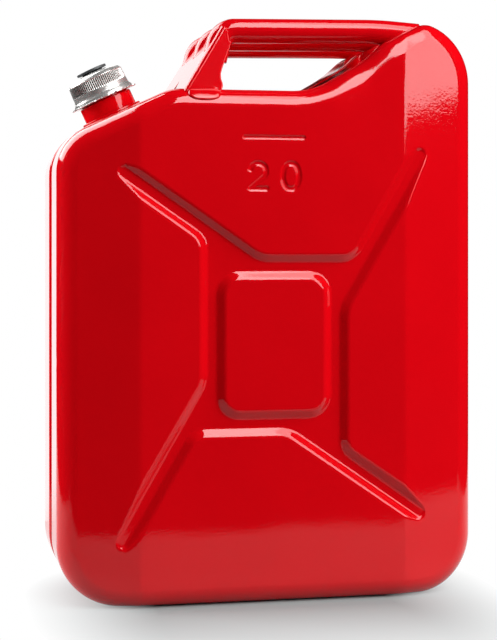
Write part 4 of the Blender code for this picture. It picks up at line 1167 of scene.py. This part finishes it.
def spread(tree, value, low, high, to_low=0.0, to_high=1.0):
    """A value's range from low to high carried over to another range, and held at its ends."""
    fed = {"Value": value, "From Min": low, "From Max": high, "To Min": to_low, "To Max": to_high}
    return add_node(tree, "ShaderNodeMapRange", fed).outputs[0]


def noise(tree, vector, scale, detail, rough):
    """Noise texture; returns its value."""
    fed = {"Vector": vector, "Scale": scale, "Detail": detail, "Roughness": rough}
    return add_node(tree, "ShaderNodeTexNoise", fed).outputs["Fac"]


def colour_mix(tree, factor, a, b):
    """Mix of two colours by a mask."""
    node = add_node(tree, "ShaderNodeMix", {"Factor": factor, "A": a, "B": b}, data_type="RGBA")
    return node.outputs["Result"]


def new_group(name, inputs, outputs):
    """Node group fed by a vector and by named inputs (socket type, default), with named outputs.

    Returns the group, the sockets that feed it and the sockets that it fills.
    """
    group = bpy.data.node_groups.new(name, "ShaderNodeTree")
    for title, (kind, default) in {"Vector": ("NodeSocketVector", (0, 0, 0)), **inputs}.items():
        socket = group.interface.new_socket(name=title, in_out="INPUT", socket_type=kind)
        socket.default_value = default
    for title, kind in outputs.items():
        group.interface.new_socket(name=title, in_out="OUTPUT", socket_type=kind)
    source = group.nodes.new("NodeGroupInput")
    sink = group.nodes.new("NodeGroupOutput")
    return group, source.outputs, sink.inputs


def peel_group():
    """Orange peel of sprayed enamel: two sizes of soft noise added into one height."""
    group, fed, filled = new_group("orange_peel", {"Scale": (FLOAT, 420.0), "Long": (FLOAT, 0.5)},
                                   {"Height": FLOAT})
    fine = noise(group, fed["Vector"], fed["Scale"], 1.0, 0.4)
    slow = noise(group, fed["Vector"], math_node(group, "MULTIPLY", fed["Scale"], 0.22), 1.0, 0.5)
    total = math_node(group, "ADD", fine, math_node(group, "MULTIPLY", slow, fed["Long"]))
    group.links.new(total, filled["Height"])
    return group


def drift_group():
    """Colour that drifts slowly between two tones over the surface."""
    group, fed, filled = new_group("tone_drift", {
        "Scale": (FLOAT, 12.0), "Tone A": (COLOUR, (1, 1, 1, 1)), "Tone B": (COLOUR, (1, 1, 1, 1))},
        {"Color": COLOUR, "Mask": FLOAT})
    mask = spread(group, noise(group, fed["Vector"], fed["Scale"], 4.0, 0.55), 0.35, 0.65)
    group.links.new(colour_mix(group, mask, fed["Tone A"], fed["Tone B"]), filled["Color"])
    group.links.new(mask, filled["Mask"])
    return group


def scuff_group():
    """Hair-fine scuffs: noise stretched along three directions and cut to its thin crests."""
    group, fed, filled = new_group("scuffs", {"Scale": (FLOAT, 60.0), "Amount": (FLOAT, 0.5)},
                                   {"Mask": FLOAT})
    most = 0.0
    for turn in (0.5, 1.9, 2.7):
        way = add_node(group, "ShaderNodeMapping", {
            "Vector": fed["Vector"], "Rotation": (turn, 0.7 * turn, 1.3 * turn),
            "Scale": (1.0, 14.0, 14.0)}).outputs["Vector"]
        crest = spread(group, noise(group, way, fed["Scale"], 2.0, 0.6), 0.66, 0.74)
        most = math_node(group, "MAXIMUM", crest, most)
    group.links.new(math_node(group, "MULTIPLY", most, fed["Amount"]), filled["Mask"])
    return group


def dust_group():
    """Fine dust: small specks, thicker where the surface looks up."""
    group, fed, filled = new_group("dust", {
        "Normal": ("NodeSocketVector", (0, 0, 1)), "Scale": (FLOAT, 900.0), "Amount": (FLOAT, 0.3)},
        {"Mask": FLOAT})
    up = add_node(group, "ShaderNodeSeparateXYZ", {"Vector": fed["Normal"]}).outputs["Z"]
    speck = spread(group, noise(group, fed["Vector"], fed["Scale"], 2.0, 0.7), 0.62, 0.80)
    total = math_node(group, "MULTIPLY", speck, math_node(group, "MAXIMUM", up, 0.15))
    group.links.new(math_node(group, "MULTIPLY", total, fed["Amount"]), filled["Mask"])
    return group


GROUP_MAKERS = {"orange_peel": peel_group, "tone_drift": drift_group, "scuffs": scuff_group,
                "dust": dust_group}


def toned(colour, gain):
    """A colour made lighter or darker, with alpha."""
    return (*[min(1.0, channel * gain) for channel in colour], 1.0)


def finish(name, colour, metallic, tones, rough, grain=None, scuffs=None, dust=None, wear=None):
    """Material of a drifting tone and roughness, with what else it is given; made once.

    tones: scale, and the gains of its two tones. rough: low and high roughness. grain: scale, share of
    the slower noise, and height. scuffs: scale, amount, and roughness added. dust: the same and its
    colour. The darkening of the grooves: its largest share, and its colour.
    """
    known = bpy.data.materials.get(name)
    if known:
        return known
    material, tree, shader = new_material(name)
    shader.inputs["Metallic"].default_value = metallic
    coords = add_node(tree, "ShaderNodeTexCoord").outputs["Object"]

    def effect(title, values):
        group = bpy.data.node_groups.get(title) or GROUP_MAKERS[title]()
        return add_node(tree, "ShaderNodeGroup", {"Vector": coords, **values}, node_tree=group).outputs

    low, high = toned(colour, tones[1]), toned(colour, tones[2])
    drift = effect("tone_drift", {"Scale": tones[0], "Tone A": low, "Tone B": high})
    base = drift["Color"]
    roughness = spread(tree, drift["Mask"], 0.0, 1.0, *rough)
    if scuffs:
        mask = effect("scuffs", {"Scale": scuffs[0], "Amount": scuffs[1]})["Mask"]
        roughness = math_node(tree, "ADD", roughness, spread(tree, mask, 0.0, 1.0, 0.0, scuffs[2]))
    if dust:
        normal = add_node(tree, "ShaderNodeNewGeometry").outputs["Normal"]
        mask = effect("dust", {"Scale": dust[0], "Amount": dust[1], "Normal": normal})["Mask"]
        base = colour_mix(tree, mask, base, (*dust[3], 1))
        roughness = math_node(tree, "ADD", roughness, math_node(tree, "MULTIPLY", mask, dust[2]))
    if wear:
        # Darker brown by the point value, which is set in the knurl's grooves
        groove_mask = add_node(tree, "ShaderNodeAttribute", attribute_name="wear").outputs["Fac"]
        base = colour_mix(tree, spread(tree, groove_mask, 0.0, 1.0, 0.0, wear[0]), base, (*wear[1], 1))
    tree.links.new(base, shader.inputs["Base Color"])
    tree.links.new(roughness, shader.inputs["Roughness"])
    if grain:
        peel = effect("orange_peel", {"Scale": grain[0], "Long": grain[1]})["Height"]
        bump = add_node(tree, "ShaderNodeBump", {"Height": peel, "Distance": grain[2], "Strength": 1.0})
        tree.links.new(bump.outputs["Normal"], shader.inputs["Normal"])
    return material


def enamel(name="red_enamel", grain=(520.0, 0.9, 0.03 * MM)):
    """Sprayed red enamel: glossy, with orange peel, faint drift of tone, hair scuffs and specks."""
    return finish(name, bpy.context.scene.fuel_can_finish.paint, 0.0, (9.0, 0.97, 1.03), (0.04, 0.065), grain,
                  scuffs=(55.0, 0.35, 0.10), dust=(1400.0, 0.05, 0.8, (0.5, 0.42, 0.38)))


def thin_enamel():
    """The same enamel on bars, leg and welds, too thin there for a peel."""
    return enamel("red_enamel_thin", None)


def plating():
    """Zinc plating: satin metal with a cloudy tone, fine grain, and a darker brown in the knurl's grooves."""
    return finish("zinc_plating", bpy.context.scene.fuel_can_finish.plating, 0.72, (70.0, 0.90, 1.06),
                  (0.22, 0.32), (1500.0, 0.8, 0.04 * MM), scuffs=(160.0, 0.5, 0.15),
                  wear=(0.75, (0.10, 0.085, 0.07)))


def dark_disc():
    """Dark satin disc: moulded, faintly mottled, with fine dust."""
    return finish("dark_satin", bpy.context.scene.fuel_can_finish.disc, 0.0, (120.0, 0.85, 1.2),
                  (0.36, 0.5), (2200.0, 0.6, 0.05 * MM), dust=(1800.0, 0.25, 0.0, (0.35, 0.34, 0.33)))


def rubber():
    """Black rubber: matt, cloudy, with a fine grain."""
    return finish("black_rubber_grain", bpy.context.scene.fuel_can_finish.rubber, 0.0, (90.0, 0.8, 1.5),
                  (0.66, 0.8), (1600.0, 0.5, 0.08 * MM))


def bare_steel():
    """Bare rolled steel: dull, cloudy, with rolling scuffs."""
    return finish("rolled_steel", bpy.context.scene.fuel_can_finish.steel, 1.0, (45.0, 0.8, 1.15),
                  (0.34, 0.48), (1200.0, 0.6, 0.05 * MM), scuffs=(110.0, 0.6, 0.15))


def dress_nodes(material, *nodes):
    """Give carried-over CAD nodes a finish."""
    for node in nodes:
        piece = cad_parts[node]
        for slot in piece.material_slots:
            slot.material = material
        if not piece.material_slots:
            piece.data.materials.append(material)


# Operators

class FUELCAN_OT_skins(bpy.types.Operator):
    """Build the two pressed skins with their channels, creases, marks and seam groove."""

    bl_idname = "fuelcan.skins"
    bl_label = "Pressed skins"

    def execute(self, context):
        for side, front in (("front", True), ("rear", False)):
            name = side + "_skin"
            mesh = skin_mesh(name, Face(context.scene.fuel_can_skin, front), front)
            place(name, mesh, enamel(), "can", "red_paint", [side + "_shell"])
        return {"FINISHED"}


class FUELCAN_OT_seam(bpy.types.Operator):
    """Build the wandering bead in the seam groove."""

    bl_idname = "fuelcan.seam"
    bl_label = "Seam bead"

    def execute(self, context):
        mesh = seam_mesh("seam_bead", context.scene.fuel_can_skin)
        place("seam_bead", mesh, enamel(), "can", "red_paint", ["seam_weld"])
        return {"FINISHED"}


class FUELCAN_OT_neck(bpy.types.Operator):
    """Build the threaded neck, its collar and the weld round it."""

    bl_idname = "fuelcan.neck"
    bl_label = "Neck"

    def execute(self, context):
        bore = NECK_R + 0.1 * MM
        collar = soft_profile([(bore, -3 * MM), (COLLAR_R, -3 * MM), (COLLAR_R, COLLAR_H), (bore, COLLAR_H)],
                              [0, 0, 1.1 * MM, 0.4 * MM])
        for name, mesh, node in (
                ("neck_with_thread", neck_mesh("neck_with_thread"), "neck_tube"),
                ("collar_ring", ring_mesh("collar_ring", turned_points(collar, 144)), "neck_collar"),
                ("collar_weld", weld_ring("collar_weld", COLLAR_R + 0.7 * MM, 1.5 * MM, 64), "neck_weld")):
            place(name, mesh, enamel(), "can", "red_paint", [node])
        return {"FINISHED"}


class FUELCAN_OT_bars(bpy.types.Operator):
    """Build the three handle bars and the welds where they land on the can."""

    bl_idname = "fuelcan.bars"
    bl_label = "Handle bars"

    def execute(self, context):
        face = Face(context.scene.fuel_can_skin, False)
        outline = rounded_line(OUTLINE, 4 * MM)[0]
        for title, y in (("front", -BAR_PITCH), ("middle", 0.0), ("rear", BAR_PITCH)):
            name = title + "_bar"
            mesh, landing = bar_mesh(name, y, face, outline)
            place(name, mesh, thin_enamel(), "can", "red_paint", ["handle_bar_" + title])
            bead = rope_mesh(name + "_weld", landing, 0.75 * MM)
            place(name + "_weld", bead, thin_enamel(), "can", "red_paint")
        return {"FINISHED"}


class FUELCAN_OT_leg(bpy.types.Operator):
    """Build the folded leg and its two oval foot tabs."""

    bl_idname = "fuelcan.leg"
    bl_label = "Handle leg"

    def execute(self, context):
        leg = place("folded_leg", leg_mesh("folded_leg"), thin_enamel(), "can", "red_paint", ["handle_leg"])
        wall = leg.modifiers.new("wall", "SOLIDIFY")
        wall.thickness = LEG_SHEET
        wall.offset = -1
        wall.use_even_offset = True
        for side, front in (("front", True), ("rear", False)):
            name = "foot_tab_" + side
            place(name, foot_tab_mesh(name, front), thin_enamel(), "can", "red_paint", sharp=50)
        return {"FINISHED"}


class FUELCAN_OT_cap(bpy.types.Operator):
    """Build the knurled cap, its lugged brim and its top disc, and finish what is inside it."""

    bl_idname = "fuelcan.cap"
    bl_label = "Cap"

    def execute(self, context):
        for name, maker, node in (("knurled_cap", knurled_cap, "cap_shell"),
                                  ("lugged_brim", lugged_brim, "cap_brim")):
            mesh = maker(name, context.scene.fuel_can_cap)
            place(name, mesh, plating(), "cap", "plated_steel", [node])
        low = CAP_FOOT_H + CAP_H + 0.15 * MM
        rim, top = low + 1.0 * MM, low + 1.0 * MM + TOP_DISC_T
        sunk, boss = top - 0.35 * MM, TOP_DISC_R - 4 * MM
        disc = soft_profile([
            (boss, low), (boss, rim), (TOP_DISC_R, rim), (TOP_DISC_R, top),
            (9.2 * MM, top), (8.4 * MM, sunk), (0.02 * MM, sunk), (0.02 * MM, low),
        ], [0, 0, 0.3 * MM, 0.7 * MM, 0.4 * MM, 0.4 * MM, 0, 0])
        mesh = ring_mesh("raised_disc", turned_points(disc, 96), merge=0.05 * MM)
        place("raised_disc", mesh, dark_disc(), "cap", "dark_disc", ["cap_top_disc"])
        dress_nodes(plating(), "cap_insert", "cap_plate", "cap_rivet")
        dress_nodes(rubber(), "cap_gasket")
        return {"FINISHED"}


class FUELCAN_OT_vent(bpy.types.Operator):
    """Finish the vent tube and its clip inside the can."""

    bl_idname = "fuelcan.vent"
    bl_label = "Vent"

    def execute(self, context):
        dress_nodes(bare_steel(), "vent_tube", "vent_clip")
        return {"FINISHED"}


def soft_lamp(name, place_at, aim, width, height, power):
    """Rectangular soft lamp aimed at a point, whose mirror image the lit cloths draw instead."""
    lamp = bpy.data.lights.new(name, "AREA")
    lamp.shape = "RECTANGLE"
    lamp.size = width
    lamp.size_y = height
    lamp.energy = power
    holder = bpy.data.objects.new(name, lamp)
    bpy.context.collection.objects.link(holder)
    holder.location = place_at
    turn = (Vector(aim) - Vector(place_at)).to_track_quat("-Z", "Y")
    holder.rotation_euler = turn.to_euler()
    holder.visible_glossy = False


def stage_sheet(name, points, material):
    """Floor or screen of the studio: a grid of points."""
    mesh = bpy.data.meshes.new(name)
    rows, cols = points.shape[:2]
    quads = quads_of(np.arange(rows * cols).reshape(rows, cols))
    mesh.from_pydata(points.reshape(-1, 3).tolist(), [], quads.tolist())
    mesh.materials.append(material)
    sheet = bpy.data.objects.new(name, mesh)
    bpy.context.collection.objects.link(sheet)
    return sheet


def hidden_sheet(name, points, material):
    """Screen or cloth that only the mirror images in the paint show."""
    sheet = stage_sheet(name, points, material)
    sheet.visible_camera = False
    sheet.visible_diffuse = False
    sheet.visible_shadow = False


def shader_mix(tree, factor, a, b, target):
    """Two shaders mixed by a mask into the output of a material or a world."""
    mix = add_node(tree, "ShaderNodeMixShader", {0: factor, 1: a.outputs[0], 2: b.outputs[0]})
    tree.links.new(mix.outputs[0], tree.nodes[target].inputs["Surface"])


def white_rays(tree):
    """1 on rays that see plain white where nothing stands, and 1 on the camera's own rays."""
    path = add_node(tree, "ShaderNodeLightPath").outputs
    seen = math_node(tree, "ADD", path["Is Camera Ray"], path["Is Glossy Ray"], clamp=True)
    return math_node(tree, "ADD", seen, path["Is Transmission Ray"], clamp=True), path["Is Camera Ray"]


def painted_shadow_floor(colour):
    """Floor fading to the background's white away from the can; the grey left round it is painted shadow."""
    material, tree, shader = new_material("pale_floor")
    shader.inputs["Base Color"].default_value = (*colour, 1)
    shader.inputs["Roughness"].default_value = 0.7
    shader.inputs["Specular IOR Level"].default_value = 0.2
    coords = add_node(tree, "ShaderNodeTexCoord").outputs["Object"]
    split = add_node(tree, "ShaderNodeSeparateXYZ", {"Vector": coords}).outputs
    beside = math_node(tree, "SUBTRACT", math_node(tree, "ABSOLUTE", split["X"]), SHADE_HALF)
    beside = math_node(tree, "DIVIDE", math_node(tree, "MAXIMUM", beside, 0.0), SHADE_SIDE)
    before = math_node(tree, "SUBTRACT", -SHADE_FRONT, split["Y"])
    before = math_node(tree, "DIVIDE", math_node(tree, "MAXIMUM", before, 0.0), SHADE_AHEAD)
    past = math_node(tree, "DIVIDE", math_node(tree, "SUBTRACT", split["Y"], SHADE_REAR), SHADE_BEHIND)
    before = math_node(tree, "MAXIMUM", before, past)
    away = add_node(tree, "ShaderNodeCombineXYZ", {"X": beside, "Y": before})
    length = add_node(tree, "ShaderNodeVectorMath", {0: away.outputs[0]}, operation="LENGTH")
    # The lamps light and shade the floor; the grey this fade leaves round the can is painted shadow
    fade = spread(tree, length.outputs["Value"], 0.0, 1.0)
    seen, camera = white_rays(tree)
    behind = math_node(tree, "MAXIMUM", spread(tree, split["Y"], WHITE_FROM, WHITE_FULL), camera)
    share = math_node(tree, "MULTIPLY", fade, math_node(tree, "MULTIPLY", seen, behind))
    glow = add_node(tree, "ShaderNodeEmission", {"Color": (1, 1, 1, 1), "Strength": 1.0})
    shader_mix(tree, share, shader, glow, "Material Output")
    return material


def black_cloth():
    """Black cloth of the screens that keep the room out of the paint."""
    material, _, shader = new_material("black_cloth")
    shader.inputs["Base Color"].default_value = (0.004, 0.004, 0.004, 1)
    shader.inputs["Roughness"].default_value = 1.0
    shader.inputs["Specular IOR Level"].default_value = 0.0
    return material


def lit_cloth(name, glow):
    """Lit white cloth of a softbox, at a plain strength."""
    material, tree, shader = new_material(name)
    tree.nodes.remove(shader)
    lit = add_node(tree, "ShaderNodeEmission", {"Color": (1, 1, 1, 1), "Strength": glow})
    tree.links.new(lit.outputs[0], tree.nodes["Material Output"].inputs["Surface"])
    return material


def cloth_points(reach, corners):
    """Cloth of a softbox on a ball round the can: turn and rise run straight between its four corners."""
    across, up = grid_of((0, 1), (0, 1), 17, 17)
    low_left, low_right, high_right, high_left = np.radians(np.array(corners, dtype=float))[:, None, None]
    low = low_left + (low_right - low_left) * across[..., None]
    high = high_left + (high_right - high_left) * across[..., None]
    turn, rise = np.moveaxis(low + (high - low) * up[..., None], -1, 0)
    way = xyz(np.sin(turn) * np.cos(rise), -np.cos(turn) * np.cos(rise), np.sin(rise))
    return np.array(SOFTBOX_CENTRE) + reach * way


def grid_of(across, along, cols=9, rows=9):
    """Two parameters between their limits: the first over the columns, the second over the rows."""
    return np.meshgrid(np.linspace(*across, cols), np.linspace(*along, rows))


def screen_sheets():
    """Points of the black screens: round the can, below and above it, and on the floor at its sides."""
    turn, height = grid_of(np.radians([-168, 168]), (-0.7, 2.6), 57, 8)
    ground_x, ground_y = grid_of((-3.0, 3.0), (-3.0, 0.4))
    roof_x, roof_y = grid_of((-SCREEN_REACH, SCREEN_REACH), (-SCREEN_REACH, 2.8))
    apron_x, apron_y = grid_of((0.68, SCREEN_REACH), (-2.5, 2.5))
    return {
        "dark_screen": xyz(SCREEN_REACH * np.sin(turn), -SCREEN_REACH * np.cos(turn), height),
        "dark_ground": xyz(ground_x, ground_y, -0.30),
        "dark_roof": xyz(roof_x, roof_y, 2.62 - 0.75 * np.maximum(roof_y - 0.8, 0)),
        "dark_apron_right": xyz(apron_x, apron_y, 0.001),
        "dark_apron_left": xyz(-apron_x, apron_y, 0.001),
    }


class FUELCAN_OT_studio(bpy.types.Operator):
    """Set the camera, the floor, the soft lamps, the dark screens and the white background."""

    bl_idname = "fuelcan.studio"
    bl_label = "Studio"

    def execute(self, context):
        scene = context.scene
        sizes = scene.fuel_can_studio
        scene.view_settings.view_transform = "Standard"
        camera = bpy.data.cameras.new("camera")
        camera.sensor_fit = "VERTICAL"
        camera.sensor_height = 36
        camera.lens = CAMERA_LENS
        camera.shift_y = CAMERA_SHIFT
        holder = bpy.data.objects.new("camera", camera)
        context.collection.objects.link(holder)
        holder.location = CAMERA_PLACE
        holder.rotation_euler = Vector(CAMERA_WAY).to_track_quat("-Z", "Y").to_euler()
        scene.camera = holder
        x, share = grid_of((-3, 3), (0, 1), 25, 21)
        near = -0.41 - 0.12 * np.clip(x, -0.6, 0.9)
        stage_sheet("floor", xyz(x, near + (3.5 - near) * share, -0.2 * MM), painted_shadow_floor(sizes.floor))
        cloth = black_cloth()
        for name, points in screen_sheets().items():
            hidden_sheet(name, points, cloth)
        for name, place_at, aim, width, height, setting in LAMPS:
            soft_lamp(name, place_at, aim, width, height, getattr(sizes, setting))
        for name, reach, corners, glow in SOFTBOXES:
            hidden_sheet(name, cloth_points(reach, corners), lit_cloth(name, glow))
        world = bpy.data.worlds.new("white_room")
        scene.world = world
        world.use_nodes = True
        tree = world.node_tree
        plain = tree.nodes["Background"]
        plain.inputs["Color"].default_value = (1, 1, 1, 1)
        plain.inputs["Strength"].default_value = sizes.fill
        white = add_node(tree, "ShaderNodeBackground", {"Color": (1, 1, 1, 1), "Strength": 1.0})
        shader_mix(tree, white_rays(tree)[0], plain, white, "World Output")
        return {"FINISHED"}


class FUELCAN_PT_panel(bpy.types.Panel):
    """Lists the pieces and their sizes in the sidebar."""

    bl_idname = "FUELCAN_PT_panel"
    bl_label = "Fuel can"
    bl_space_type = "VIEW_3D"
    bl_region_type = "UI"
    bl_category = "Fuel can"

    def draw(self, context):
        for operator in PIECE_OPERATORS:
            self.layout.operator(operator.bl_idname)
        for owner, group in SETTINGS.items():
            box = self.layout.box()
            for key in group.__annotations__:
                box.prop(getattr(context.scene, owner), key)


SETTINGS = {
    "fuel_can_skin": FuelCanSkin,
    "fuel_can_cap": FuelCanCap,
    "fuel_can_finish": FuelCanFinish,
    "fuel_can_studio": FuelCanStudio,
}
PIECE_OPERATORS = (FUELCAN_OT_skins, FUELCAN_OT_seam, FUELCAN_OT_neck, FUELCAN_OT_bars, FUELCAN_OT_leg,
                   FUELCAN_OT_cap, FUELCAN_OT_vent, FUELCAN_OT_studio)
CLASSES = (*SETTINGS.values(), *PIECE_OPERATORS, FUELCAN_PT_panel)


def register():
    for item in CLASSES:
        bpy.utils.register_class(item)
    for owner, group in SETTINGS.items():
        setattr(bpy.types.Scene, owner, PointerProperty(type=group))


def unregister():
    for owner in SETTINGS:
        delattr(bpy.types.Scene, owner)
    for item in reversed(CLASSES):
        bpy.utils.unregister_class(item)


def main():
    """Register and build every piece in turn."""
    register()
    bpy.ops.fuelcan.skins()
    bpy.ops.fuelcan.seam()
    bpy.ops.fuelcan.neck()
    bpy.ops.fuelcan.bars()
    bpy.ops.fuelcan.leg()
    bpy.ops.fuelcan.cap()
    bpy.ops.fuelcan.vent()
    bpy.ops.fuelcan.studio()


if __name__ == "__main__":
    main()
